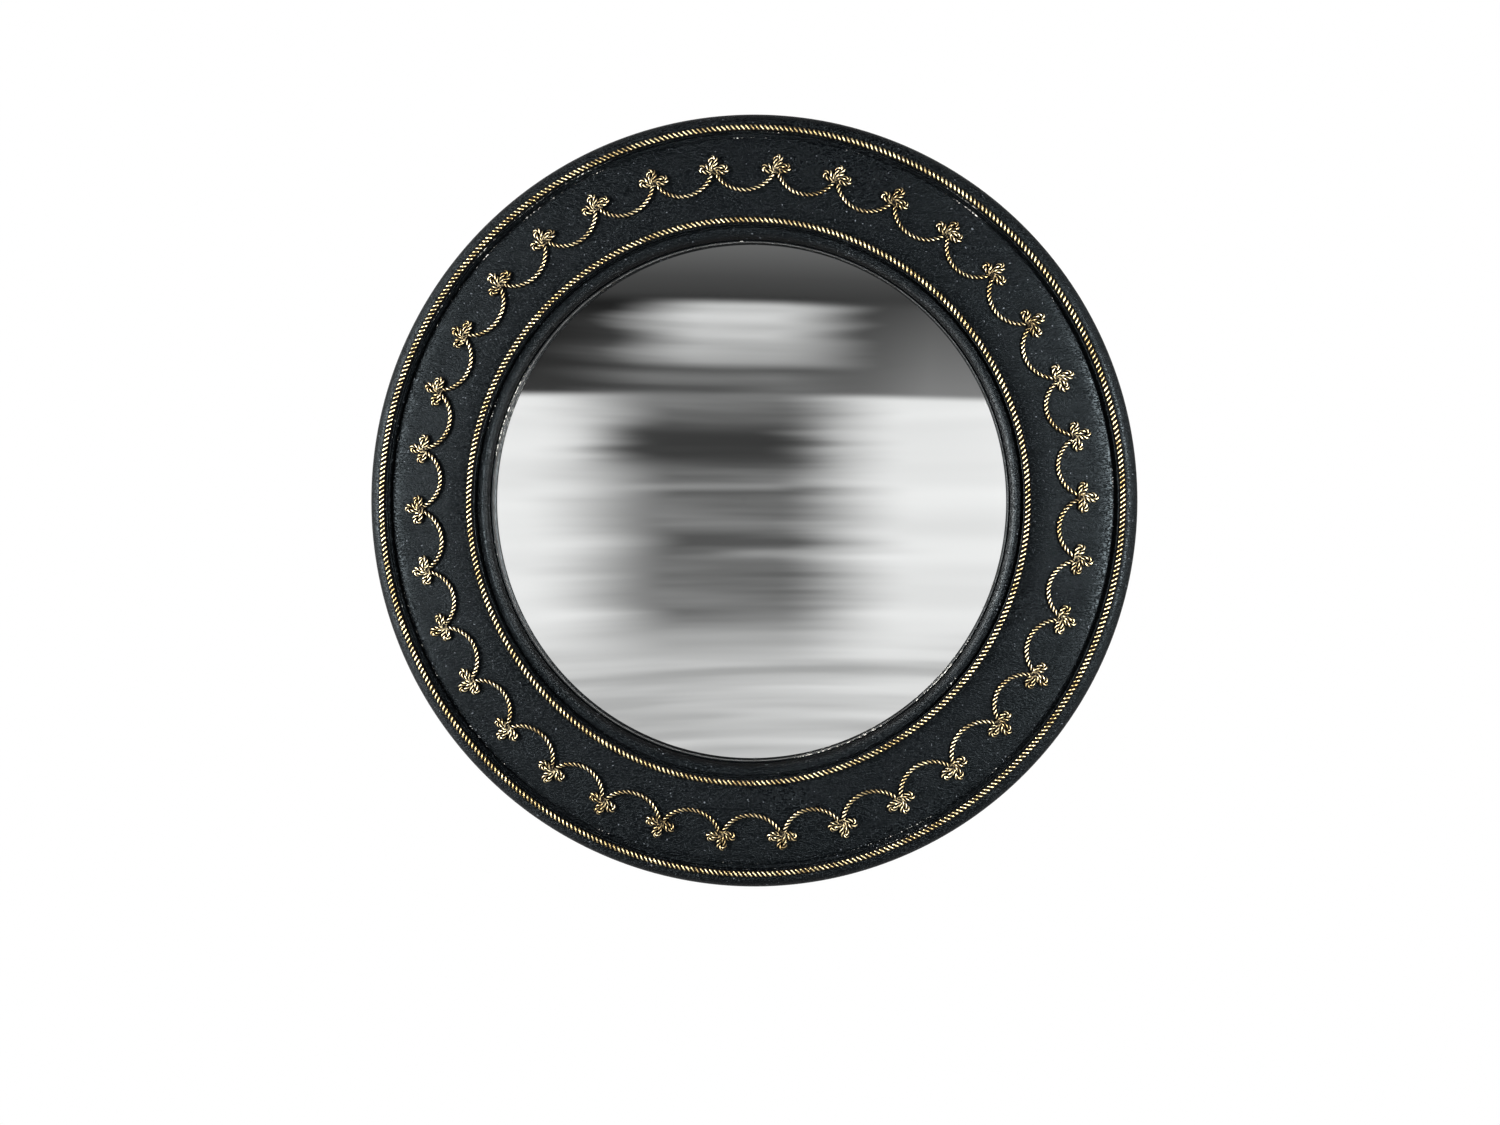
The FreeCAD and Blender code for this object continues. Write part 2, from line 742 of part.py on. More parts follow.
def build():
    pieces = [
        face_ring(),
        back_ring(),
        ring_rope("outer_rope", "rim_inner", "rim_top"),
        ring_rope("inner_rope", "crest_inner", "crest_top"),
        garland(),
        sight_slip(),
        felt_ring(),
        convex_glass(),
        glass_blocks(),
        backboard(),
        button_screws(),
        wall_pads(),
    ]
    pieces += [turn_button(k) for k in range(round(number("button_count")))]
    for side, sign in (("left", "-"), ("right", "")):
        pieces.append(hanger_strap(side, sign))
        pieces.append(hanger_ring(side, sign))
        pieces.append(hanger_screws(side, sign))
    doc.recompute()
    return pieces


def check(pieces):
    """Stops at any object that failed, and at any piece without a sound shape."""
    for item in doc.Objects:
        if {"Invalid", "Error"} & set(item.State):
            raise RuntimeError(f"{item.Label} failed: {item.State}")
    for piece in pieces:
        if piece.Shape.isNull() or not piece.Shape.isValid() or not piece.Shape.Solids:
            raise RuntimeError(f"{piece.Label} has no sound shape")


def write(pieces):
    os.makedirs(PARTS_FOLDER, exist_ok=True)
    for piece in pieces:
        piece.Shape.exportStep(os.path.join(PARTS_FOLDER, f"{piece.Label}.step"))
        volume = sum(s.Volume for s in piece.Shape.Solids) / 1000
        print(f"{piece.Label}: {len(piece.Shape.Solids)} solids, {volume:.2f} cm3")


mirror = build()
check(mirror)
write(mirror)
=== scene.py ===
# %% [markdown]
# # A round convex mirror in a dark frame with gilt rope
#
# The real mirror is two turned wooden rings glued together, painted blue-black, trimmed
# with moulded gilt rope and closed at the back by a plain board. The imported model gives
# each piece its size and place. This lesson makes the surfaces and the finer shapes: the
# turned edges, the lay of the rope and the silvered glass. Everything is in metres, the
# front looks along -Y and Z is up.

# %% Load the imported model
import math
import random

import bpy
from mathutils import Matrix, Vector


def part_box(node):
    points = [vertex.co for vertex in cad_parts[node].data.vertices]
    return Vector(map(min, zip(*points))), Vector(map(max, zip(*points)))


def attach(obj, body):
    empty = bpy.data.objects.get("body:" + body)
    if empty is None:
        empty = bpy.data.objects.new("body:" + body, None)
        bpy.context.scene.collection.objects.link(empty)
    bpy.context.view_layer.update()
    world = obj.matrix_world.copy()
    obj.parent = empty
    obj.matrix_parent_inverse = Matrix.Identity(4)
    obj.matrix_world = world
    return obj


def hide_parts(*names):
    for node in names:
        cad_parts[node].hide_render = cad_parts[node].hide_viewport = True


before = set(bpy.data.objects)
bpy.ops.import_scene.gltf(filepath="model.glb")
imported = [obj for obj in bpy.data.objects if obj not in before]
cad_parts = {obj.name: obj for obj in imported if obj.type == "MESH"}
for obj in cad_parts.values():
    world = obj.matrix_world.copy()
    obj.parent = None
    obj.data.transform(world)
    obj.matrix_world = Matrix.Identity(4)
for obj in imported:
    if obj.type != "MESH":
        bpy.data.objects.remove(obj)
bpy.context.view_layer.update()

MM = 0.001
print("pieces in the packed model:", len(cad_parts))

# %% [markdown]
# ## The camera
#
# The picture was taken from a little to the right of the mirror, level with it, and the
# mirror sits above the middle of the frame. The circles of the frame are flattened by
# less than one part in a hundred, which gives 7 degrees, and their centres wander with
# their depth as they do from 1.8 m away. The lens then follows from the picture: the
# outline of 600 mm is 773 pixels high. Instead of shifting the lens, the camera aims at
# a point a little below the mirror's middle.

# %% Place the camera
PICTURE_WIDTH = 1500
OUTLINE_PIXELS, OUTLINE_RADIUS = 386.3, 0.300
PIXELS_ASIDE, PIXELS_ABOVE = 3.7, 60.3
DISTANCE, SENSOR = 1.8, 36
YAW = math.radians(7)
MIDDLE_DEPTH = 0.032
PIXELS_PER_METRE = OUTLINE_PIXELS / OUTLINE_RADIUS
middle = Vector((0, -MIDDLE_DEPTH, 0))
line_of_sight = Vector((-math.sin(YAW), math.cos(YAW), 0))
to_the_right = Vector((math.cos(YAW), math.sin(YAW), 0))
aside = to_the_right * (PIXELS_ASIDE / PIXELS_PER_METRE)
below = Vector((0, 0, PIXELS_ABOVE / PIXELS_PER_METRE))
aim = middle + aside - below

lens = bpy.data.cameras.new("camera")
lens.sensor_width = SENSOR
lens.lens = SENSOR * PIXELS_PER_METRE * DISTANCE / PICTURE_WIDTH
camera = bpy.data.objects.new("camera", lens)
bpy.context.scene.collection.objects.link(camera)
camera.location = middle - line_of_sight * DISTANCE
camera.rotation_euler = (aim - camera.location).to_track_quat("-Z", "Y").to_euler()
bpy.context.scene.camera = camera
print("lens", round(lens.lens, 1), "mm")

# %% [markdown]
# ## White surroundings and soft lamps
#
# The mirror is shown on plain white. The world is white to the camera and to glossy
# rays, and a plain grey for everything else, so the background can be white without
# flooding the dark paint with light. Two tall soft lamps stand to the left and right,
# which is what puts the sheen on the left and right of the frame and leaves its top and
# bottom dark.

# %% Make the world and the lamps
scene = bpy.context.scene
scene.view_settings.view_transform = "Standard"


def nodes_of(owner):
    """Clears a material's or the world's nodes and returns its tree."""
    owner.use_nodes = True
    owner.node_tree.nodes.clear()
    return owner.node_tree


def white_to_camera(tree, white_shader):
    """White where the camera or a glossy or clear surface looks, plain elsewhere."""
    path = tree.nodes.new("ShaderNodeLightPath")
    seen = tree.nodes.new("ShaderNodeMath")
    seen.operation = "MAXIMUM"
    tree.links.new(path.outputs["Is Camera Ray"], seen.inputs[0])
    tree.links.new(path.outputs["Is Glossy Ray"], seen.inputs[1])
    seen_or_clear = tree.nodes.new("ShaderNodeMath")
    seen_or_clear.operation = "MAXIMUM"
    tree.links.new(seen.outputs[0], seen_or_clear.inputs[0])
    tree.links.new(path.outputs["Is Transmission Ray"], seen_or_clear.inputs[1])
    white = tree.nodes.new(white_shader)
    white.inputs["Color"].default_value = (1, 1, 1, 1)
    white.inputs["Strength"].default_value = 1
    mix = tree.nodes.new("ShaderNodeMixShader")
    tree.links.new(seen_or_clear.outputs[0], mix.inputs[0])
    tree.links.new(white.outputs[0], mix.inputs[2])
    return mix


world = bpy.data.worlds.new("white_surroundings")
scene.world = world
tree = nodes_of(world)
grey = tree.nodes.new("ShaderNodeBackground")
grey.inputs["Color"].default_value = (0.75, 0.77, 0.8, 1)
grey.inputs["Strength"].default_value = 0.2
mix = white_to_camera(tree, "ShaderNodeBackground")
tree.links.new(grey.outputs[0], mix.inputs[1])
out = tree.nodes.new("ShaderNodeOutputWorld")
tree.links.new(mix.outputs[0], out.inputs["Surface"])


def soft_lamp(name, place, width, height, watts):
    """A rectangular lamp that looks at the mirror."""
    light = bpy.data.lights.new(name, "AREA")
    light.shape = "RECTANGLE"
    light.size = width
    light.size_y = height
    light.energy = watts
    lamp = bpy.data.objects.new(name, light)
    scene.collection.objects.link(lamp)
    lamp.location = place
    lamp.rotation_euler = (middle - Vector(place)).to_track_quat("-Z", "Y").to_euler()
    return lamp


lamps = [
    soft_lamp("left_lamp", (-2.0, -1.55, 0.15), width=0.6, height=1.6, watts=280),
    soft_lamp("right_lamp", (1.75, -2.2, 0.15), width=0.6, height=1.6, watts=400),
]
print("lamps:", [lamp.name for lamp in lamps])

# %% [markdown]
# ## A circle that grows into a turned piece
#
# The frame, the slip and the glass were all turned about one axis. A turner follows a
# section with the tool, and the same can be done here: a circle is added at the first
# point of the section, then extruded, scaled and pushed back to each next point in turn.
# The last circle meets the first again and is merged with it, or shrinks to a point.
# Every sharp corner gets a small round, as sanding and paint leave it, and each point
# carries how much its edge is worn, which the paint reads later; where the number is
# negative, the paint puts painted shade there instead.

# %% Write the helper that turns a section
SEGMENTS = 256


def only(obj):
    """Makes obj the one selected and active object."""
    if bpy.context.mode != "OBJECT":
        bpy.ops.object.mode_set(mode="OBJECT")
    bpy.ops.object.select_all(action="DESELECT")
    obj.select_set(True)
    bpy.context.view_layer.objects.active = obj


def rounded(corners, small=0.5, steps=3):
    """Rounds each corner (radius, depth, wear) of a closed section, in millimetres.

    Returns points with the wear, or painted shade where it is negative, at the corner and
    none beside it. A corner may give its own round as a fourth number, and 0 keeps it as it is.
    """
    points = []
    count = len(corners)
    for k, corner in enumerate(corners):
        here = Vector(corner[:2])
        wear_and_shade = corner[2]
        size = corner[3] if len(corner) > 3 else small
        before = Vector(corners[k - 1][:2]) - here
        after = Vector(corners[(k + 1) % count][:2]) - here
        if size == 0:
            points.append((here.x, here.y, wear_and_shade))
            continue
        reach = min(size, before.length * 0.4, after.length * 0.4)
        start = here + before.normalized() * reach
        end = here + after.normalized() * reach
        if before.length > 4 * reach:
            point = here + before.normalized() * (3 * reach)
            points.append((point.x, point.y, 0.0))
        for step in range(steps + 1):
            t = step / steps
            point = start.lerp(here, t).lerp(here.lerp(end, t), t)
            points.append((point.x, point.y, wear_and_shade))
        if after.length > 4 * reach:
            point = here + after.normalized() * (3 * reach)
            points.append((point.x, point.y, 0.0))
    return points


def turned(name, section):
    """Grows a circle along a section of (radius, depth, wear) points in millimetres."""
    bpy.ops.object.select_all(action="DESELECT")
    radius, depth = section[0][0] * MM, section[0][1] * MM
    bpy.ops.mesh.primitive_circle_add(
        vertices=SEGMENTS, radius=radius, location=(0, -depth, 0), rotation=(math.pi / 2, 0, 0)
    )
    piece = bpy.context.object
    piece.name = name
    piece.data.name = name
    bpy.ops.object.transform_apply(location=True, rotation=True, scale=True)
    bpy.ops.object.mode_set(mode="EDIT")
    bpy.ops.mesh.select_mode(type="EDGE")
    bpy.ops.mesh.select_all(action="SELECT")
    for next_radius, next_depth, _ in section[1:]:
        step = next_depth * MM - depth
        bpy.ops.mesh.extrude_edges_move(TRANSFORM_OT_translate={"value": (0, -step, 0)})
        scale = next_radius * MM / radius
        depth = next_depth * MM
        radius = next_radius * MM
        if abs(scale - 1) > 1e-9:
            bpy.ops.transform.resize(value=(scale, 1, scale), center_override=(0, -depth, 0))
    bpy.ops.mesh.extrude_edges_move(
        TRANSFORM_OT_translate={"value": (0, depth - section[0][1] * MM, 0)}
    )
    scale = section[0][0] * MM / radius
    bpy.ops.transform.resize(value=(scale, 1, scale), center_override=(0, -section[0][1] * MM, 0))
    bpy.ops.object.mode_set(mode="OBJECT")
    # The third number is an edge's wear, or painted shade where it is negative.
    wear_and_shade = piece.data.attributes.new("wear_and_shade", "FLOAT", "POINT")
    values = [point[2] for point in section for _ in range(SEGMENTS)]
    values += [section[0][2]] * (len(piece.data.vertices) - len(values))
    wear_and_shade.data.foreach_set("value", values)
    bpy.ops.object.mode_set(mode="EDIT")
    bpy.ops.mesh.select_all(action="SELECT")
    bpy.ops.mesh.remove_doubles(threshold=1e-6)
    bpy.ops.mesh.normals_make_consistent(inside=False)
    bpy.ops.object.mode_set(mode="OBJECT")
    bpy.ops.object.shade_smooth_by_angle(angle=math.radians(35))
    return piece


print("a full turn has", SEGMENTS, "faces")

# %% [markdown]
# ## The face ring
#
# This is the front of the frame: a rounded shoulder, a flat rim under the outer rope, a
# deep groove, a gently crowned frieze that rises towards the glass, a flat crest under
# the inner rope, a second groove and a bevel down to the slip. The frieze is a straight
# slope of 7 degrees with a long round at each end, so its points are worked out along
# those rounds rather than typed one by one.

# %% Turn the face ring
GLUE_LINE, SHOULDER_FOOT, RIM_TOP, CREST_TOP = 28.0, 29.5, 35.5, 40.5
FRAME_EDGE, RIM_OUTER, RIM_INNER, FRIEZE_OUTER = 300.0, 290.8, 285.4, 282.2
FRIEZE_INNER, CREST_INNER, BEVEL_OUTER, LIP = 221.0, 214.0, 212.0, 203.4
SLOPE, EDGE_SLOPE = math.radians(7), math.radians(16)
INNER_ROUND, OUTER_ROUND = 16.0, 12.2
RIM_GROOVE, CREST_GROOVE = 4.5, 5
SHOULDER_STEPS = 8
FRIEZE_START, FRIEZE_STEP, FRIEZE_POINTS = 3.0, 3.4, 18


def frieze_depth(radius):
    """Depth of the frieze at a radius, both in millimetres."""
    inner = INNER_ROUND / math.sin(SLOPE)
    cone_in, cone_out = FRIEZE_INNER + INNER_ROUND, FRIEZE_OUTER - OUTER_ROUND
    near = min(max(radius - FRIEZE_INNER, 0), INNER_ROUND)
    depth = CREST_TOP - inner + math.sqrt(inner**2 - near**2)
    depth -= max(min(radius, cone_out) - cone_in, 0) * math.tan(SLOPE)
    if radius > cone_out:
        outer = OUTER_ROUND / (math.sin(EDGE_SLOPE) - math.sin(SLOPE))
        start = outer * math.sin(SLOPE)
        run = start + radius - cone_out
        depth -= math.sqrt(outer**2 - start**2) - math.sqrt(outer**2 - run**2)
    return depth


shoulder_width, shoulder_rise = FRAME_EDGE - RIM_OUTER, RIM_TOP - SHOULDER_FOOT
shoulder_curve = (shoulder_width**2 + shoulder_rise**2) / (2 * shoulder_rise)
first_angle = math.acos(shoulder_width / shoulder_curve)
shoulder = []
for k in range(SHOULDER_STEPS + 1):
    angle = first_angle + (math.pi / 2 - first_angle) * k / SHOULDER_STEPS
    across, up = shoulder_curve * math.cos(angle), shoulder_curve * (math.sin(angle) - 1)
    worn = 0.25 if k < SHOULDER_STEPS - 1 else 0.0
    shoulder.append((RIM_OUTER + across, RIM_TOP + up, worn, 0.6 if k == 0 else 0))
frieze = [
    (radius, frieze_depth(radius), 0.0, 0)
    for radius in [FRIEZE_OUTER - FRIEZE_START - k * FRIEZE_STEP for k in range(FRIEZE_POINTS)]
]
section = [(LIP, GLUE_LINE, 0.0, 0), (FRAME_EDGE, GLUE_LINE, 0.0, 0)]
section += shoulder
section += [
    (RIM_INNER, RIM_TOP, 1.0),
    (RIM_INNER, RIM_TOP - RIM_GROOVE, 0.0),
    (FRIEZE_OUTER, RIM_TOP - RIM_GROOVE, 0.0),
    (FRIEZE_OUTER, frieze_depth(FRIEZE_OUTER), 1.0, 0.8),
]
section += frieze
section += [
    (CREST_INNER, CREST_TOP, 0.8),
    (CREST_INNER, CREST_TOP - CREST_GROOVE, 0.0),
    (BEVEL_OUTER, CREST_TOP - CREST_GROOVE, 0.0),
    (BEVEL_OUTER, CREST_TOP - 2, 0.8, 1.2),
    (BEVEL_OUTER - 4.6, CREST_TOP - 3.2, 0.0, 1.6),
    # The -1 on these two points asks the paint for painted shade in the corner by the slip.
    (LIP + 1.2, GLUE_LINE + 5.4, -1.0, 0.6),
    (LIP, GLUE_LINE + 4.2, -1.0, 0.5),
]
face_ring = turned("face_ring_paint", rounded(section))
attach(face_ring, "mirror_frame")
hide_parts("face_ring")
print("face ring:", len(face_ring.data.polygons), "faces")

# %% [markdown]
# ## The slip and the glass
#
# The slip is a thin black hoop that hides the rim of the glass. The glass is part of a
# sphere of 900 mm radius. A mirror shows every flat facet, so the glass isn't left as
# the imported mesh: it is turned from many fine rings whose normals then run smoothly.

# %% Turn the slip and the glass
SIGHT, SLIP_OUTER, GLASS_RIM, GLASS_RADIUS = 202.0, 214.2, 211.5, 900.0
SLIP_FRONT, SLIP_BACK, SLIP_FIT = 29.6, 26.6, 0.3
GLASS_THICKNESS = 3.0
FRONT_RINGS, BACK_RINGS = 72, 12
ALMOST_A_POINT = 0.02
BED_SLOPE = math.asin((SIGHT + GLASS_RIM) / 2 / GLASS_RADIUS)
slip_section = [
    (SIGHT, SLIP_FRONT, 1.0, 0.5),
    (SIGHT, SLIP_BACK, 1.0, 0.3),
    (SLIP_OUTER, SLIP_BACK - (SLIP_OUTER - SIGHT) * math.tan(BED_SLOPE), 0.0, 0),
    (SLIP_OUTER, GLUE_LINE, 0.0, 0),
    (LIP - SLIP_FIT, GLUE_LINE, 0.0, 0),
    (LIP - SLIP_FIT, SLIP_FRONT, 0.4, 0.6),
]
slip = turned("sight_slip_paint", rounded(slip_section))
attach(slip, "mirror_frame")
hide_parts("sight_slip")

glass_low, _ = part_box("convex_glass")
apex = -glass_low.y / MM
centre = apex - GLASS_RADIUS


def sphere_depth(radius, sphere):
    """Depth of a sphere of the given radius, which shares its centre with the glass."""
    return centre + math.sqrt(sphere**2 - radius**2)


front_radii = [
    GLASS_RIM * math.cos(math.pi / 2 * k / FRONT_RINGS) for k in range(FRONT_RINGS + 1)
]
front = [
    (max(radius, ALMOST_A_POINT), sphere_depth(radius, GLASS_RADIUS), 0.0) for radius in front_radii
]
back_radii = [GLASS_RIM * k / BACK_RINGS for k in range(BACK_RINGS + 1)]
back = [
    (max(radius, ALMOST_A_POINT), sphere_depth(radius, GLASS_RADIUS - GLASS_THICKNESS), 0.0)
    for radius in back_radii
]
glass = turned("silvered_glass", front + back)
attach(glass, "mirror_frame")
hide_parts("convex_glass")
print("apex", round(apex, 2), "mm in front of the wall")

# %% [markdown]
# ## Twisted rope
#
# Each rope is three strands laid round each other. One section is enough to make it: a
# circle is pinched in three places, so that it looks like three strands pressed together,
# and a Screw modifier turns and draws it out along X. Each point then keeps how far it
# stands from the middle of the rope, because the gilding sits on the crowns of the
# strands and the grooves stay dark. A Curve modifier lays the straight rope on its route.

# %% Write the helper that makes a straight rope
STRANDS = 3
STRAND_RADIUS, STRAND_OFFSET = 0.464, 0.536  # shares of the rope's own radius
STRAND_SPREAD = math.radians(118)
GROOVE_LEVEL = 0.5


def straight_rope(name, diameter, length, turns, points_per_strand, steps_per_turn):
    """A rope along +X from the origin, with its crowns stored as an attribute."""
    bpy.ops.object.select_all(action="DESELECT")
    sides = STRANDS * points_per_strand
    bpy.ops.mesh.primitive_circle_add(
        vertices=sides, radius=diameter / 2, rotation=(0, math.pi / 2, 0)
    )
    rope = bpy.context.object
    rope.name = name
    bpy.ops.object.transform_apply(rotation=True)
    strand = diameter / 2 * STRAND_RADIUS
    offset = diameter / 2 * STRAND_OFFSET
    for k, vertex in enumerate(rope.data.vertices):
        which, place = divmod(k, points_per_strand)
        middle_angle = 2 * math.pi * which / STRANDS
        spread = (place + 0.5) / points_per_strand * 2 - 1
        angle = middle_angle + spread * STRAND_SPREAD
        vertex.co = Vector(
            (
                0,
                offset * math.cos(middle_angle) + strand * math.cos(angle),
                offset * math.sin(middle_angle) + strand * math.sin(angle),
            )
        )
    screw = rope.modifiers.new("lay", "SCREW")
    screw.axis = "X"
    screw.angle = 2 * math.pi
    screw.screw_offset = length / turns
    screw.iterations = turns
    screw.steps = steps_per_turn
    screw.render_steps = steps_per_turn
    screw.use_merge_vertices = False
    only(rope)
    bpy.ops.object.modifier_apply(modifier="lay")
    bpy.ops.object.mode_set(mode="EDIT")
    bpy.ops.mesh.select_all(action="SELECT")
    bpy.ops.mesh.normals_make_consistent(inside=False)
    bpy.ops.object.mode_set(mode="OBJECT")
    bpy.ops.object.shade_smooth()
    crown = rope.data.attributes.new("crown", "FLOAT", "POINT")
    radius = diameter / 2
    values = [
        min(max((math.hypot(v.co.y, v.co.z) / radius - GROOVE_LEVEL) / (1 - GROOVE_LEVEL), 0), 1)
        for v in rope.data.vertices
    ]
    crown.data.foreach_set("value", values)
    return rope


def gild_front(rope, wood_level, diameter, low, high):
    """Keeps the gilding on the front; the foot of a rope stays black, partly black paint and partly
    painted shade where it meets the wood.
    """
    crown = rope.data.attributes["crown"]
    for vertex, value in zip(rope.data.vertices, crown.data):
        x, y, z = vertex.co / MM
        height = (-y - wood_level(math.hypot(x, z))) / diameter
        # Painted shade: towards the foot of the rope the gilding fades to black.
        front = min(max((height - low) / (high - low), 0), 1)
        value.value *= front * front * (3 - 2 * front)


def lay_on(rope, curve):
    """Bends a straight rope along a curve and applies it."""
    only(rope)
    bend = rope.modifiers.new("route", "CURVE")
    bend.object = curve
    bend.deform_axis = "POS_X"
    bpy.ops.object.modifier_apply(modifier="route")
    return rope


# %% [markdown]
# ## The two rings of rope
#
# The outer ring lies on the rim and the inner one on the crest. Their strands cross the
# rope every 3.7 mm, which with three strands makes a full turn every 11 mm. The number
# of turns is a whole one, so the ends of the rope meet strand to strand.

# %% Lay the two rope rings
ROPE, ROPE_INSET, GLUE = 5.4, 0.5, 0.1
RIM_TURNS, CREST_TURNS = 161, 121


def rope_ring(name, node, edge, land, turns):
    """A ring of twisted rope outside an edge of the wood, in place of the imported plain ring."""
    radius = edge + ROPE_INSET + ROPE / 2
    depth = land + GLUE + ROPE / 2
    bpy.ops.object.select_all(action="DESELECT")
    bpy.ops.curve.primitive_bezier_circle_add(radius=radius * MM, rotation=(math.pi / 2, 0, 0))
    circle = bpy.context.object
    bpy.ops.object.transform_apply(rotation=True)
    circle.data.resolution_u = 64
    circle.data.use_stretch = True
    circle.data.use_deform_bounds = True
    length = 2 * math.pi * radius * MM
    rope = straight_rope(name, ROPE * MM, length, turns, points_per_strand=7, steps_per_turn=12)
    lay_on(rope, circle)
    bpy.data.objects.remove(circle)
    bpy.ops.object.mode_set(mode="EDIT")
    bpy.ops.mesh.select_all(action="SELECT")
    bpy.ops.mesh.remove_doubles(threshold=2e-5)
    bpy.ops.transform.translate(value=(0, -depth * MM, 0))
    bpy.ops.object.mode_set(mode="OBJECT")
    gild_front(rope, lambda _: depth - ROPE / 2, ROPE, low=0.6, high=0.86)
    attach(rope, "mirror_frame")
    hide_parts(node)
    return rope


outer_rope = rope_ring("outer_rope_laid", "outer_rope", RIM_INNER, RIM_TOP, RIM_TURNS)
inner_rope = rope_ring("inner_rope_laid", "inner_rope", CREST_INNER, CREST_TOP, CREST_TURNS)
for rope in (outer_rope, inner_rope):
    print(rope.name, len(rope.data.polygons), "faces")

# %% [markdown]
# ## The garland
#
# A finer rope runs round the frieze in 34 swags. Where two swags meet, the same rope
# makes three loops before it hangs down again. One repeat is a single smooth curve: up
# from the lowest point of one swag, three times out and back through the knot, and down
# to the lowest point of the next. It was laid by hand, so each repeat gets slightly
# different loops, and the knots aren't quite evenly spaced. The differences come from a
# seeded random generator, so they are the same in every run.

# %% Draw one repeat of the garland
REPEATS, FIRST_KNOT = 34, math.radians(4.5)
KNOT_RADIUS, SWAG_LOW = 256.6, 241.1
FINE_ROPE = 3.4
LOOP_REACH, LOOP_HALF_WIDTH = 11.9, 2.15
LOOP_ANGLES, SIDE_LOOP = (-74, 0, 74), 0.9
LOOP_SHAPE = [
    (0.28, -0.42),
    (0.6, -0.95),
    (0.84, -1.0),
    (1.0, 0.0),
    (0.84, 1.0),
    (0.6, 0.95),
    (0.28, 0.42),
]
SWAG_START = (1.6, -1.2)
hand = random.Random(34)


def loop_points(angle, reach, half_width, height):
    """Points of a loop that leaves the knot, turns and comes back, in millimetres."""
    points = []
    for k, (along, across) in enumerate(LOOP_SHAPE):
        u, v = along * reach, across * half_width
        lift = height * abs(k - 3) / 3
        x = u * math.sin(angle) + v * math.cos(angle)
        y = u * math.cos(angle) - v * math.sin(angle)
        points.append((x, y, lift))
    return points


def swag_points(side):
    """Points from the knot to the lowest point of the swag on one side, along one arc."""
    half_pitch = math.pi / REPEATS
    outward = Vector((math.sin(half_pitch), math.cos(half_pitch)))
    low = outward * SWAG_LOW - Vector((0, KNOT_RADIUS))
    start = Vector(SWAG_START)
    gap = start - low
    bend = gap.dot(gap) / (2 * gap.dot(outward))
    centre = low + outward * bend
    sweep = (start - centre).angle_signed(low - centre)
    points = []
    for t in (0.0, 0.17, 0.34, 0.5, 0.67, 0.84, 1.0):
        arm = (start - centre) @ Matrix.Rotation(sweep * t, 2)
        points.append((side * (centre.x + arm.x), centre.y + arm.y, 0.0))
    return points


def garland_repeat():
    """The control points of one repeat, from left to right."""
    tilt = math.radians(hand.uniform(-4, 4))
    points = list(reversed(swag_points(-1)))
    for k, angle in enumerate(LOOP_ANGLES):
        lean = math.radians(angle + hand.uniform(-6, 6)) + tilt
        reach = (LOOP_REACH if angle == 0 else LOOP_REACH * SIDE_LOOP) * hand.uniform(0.94, 1.04)
        width = LOOP_HALF_WIDTH * hand.uniform(0.9, 1.12)
        points += [(0.0, 0.3, 0.5 + 0.5 * k)] + loop_points(lean, reach, width, 0.6 + 0.4 * k)
    points += [(0.0, 0.3, 1.4)] + swag_points(1)
    return points


print("one repeat has", len(garland_repeat()), "points")

# %% [markdown]
# ## Laying the garland on the frieze
#
# Each repeat is bent flat, tipped by the slope of the frieze and spun to its place. The
# joined garland is then nudged: every knot moves a little along the ring, and the points
# between two knots follow smoothly, as they would if the rope had been pressed down by
# hand from knot to knot.

# %% Lay the garland
GARLAND_TURNS = 13
END_HANDLE = 2.6
KNOT_SHADE, KNOT_SIZE = 0.88, 4.5


def bezier_through(points):
    """A smooth open curve through points given in millimetres."""
    bpy.ops.object.select_all(action="DESELECT")
    bpy.ops.curve.primitive_bezier_curve_add()
    curve = bpy.context.object
    curve.data.dimensions = "3D"
    curve.data.resolution_u = 8
    curve.data.twist_mode = "Z_UP"
    curve.data.use_stretch = True
    curve.data.use_deform_bounds = True
    spline = curve.data.splines[0]
    spline.bezier_points.add(len(points) - 2)
    for point, place in zip(spline.bezier_points, points):
        point.co = Vector(place) * MM
        point.handle_left_type = point.handle_right_type = "AUTO"
    half_pitch = math.pi / REPEATS
    along = Vector((math.cos(half_pitch), math.sin(half_pitch), 0)) * (END_HANDLE * MM)
    back = Vector((math.cos(half_pitch), -math.sin(half_pitch), 0)) * (END_HANDLE * MM)
    for point, way in ((spline.bezier_points[0], along), (spline.bezier_points[-1], back)):
        point.handle_left_type = point.handle_right_type = "FREE"
        point.handle_left = point.co - way
        point.handle_right = point.co + way
    return curve


def seat(k):
    """Where the k-th repeat lies: tipped on the frieze and spun about the Y axis."""
    lift = FINE_ROPE / 2 + GLUE
    level = frieze_depth(KNOT_RADIUS)
    up = Vector((0, -math.cos(SLOPE), math.sin(SLOPE)))
    place = Vector((0, -level, KNOT_RADIUS)) + up * lift
    spin = Matrix.Rotation(FIRST_KNOT + 2 * math.pi * k / REPEATS, 4, "Y")
    return spin @ Matrix.Translation(place * MM) @ Matrix.Rotation(math.pi / 2 - SLOPE, 4, "X")


repeats = []
for k in range(REPEATS):
    route = bezier_through(garland_repeat())
    length = route.data.splines[0].calc_length()
    rope = straight_rope(
        f"repeat_{k}", FINE_ROPE * MM, length, GARLAND_TURNS, points_per_strand=6, steps_per_turn=12
    )
    lay_on(rope, route)
    bpy.data.objects.remove(route)
    for vertex, value in zip(rope.data.vertices, rope.data.attributes["crown"].data):
        from_knot = math.hypot(vertex.co.x, vertex.co.y) / (KNOT_SIZE * MM)
        value.value *= KNOT_SHADE + (1 - KNOT_SHADE) * min(from_knot, 1) ** 2
    rope.matrix_world = seat(k)
    repeats.append(rope)

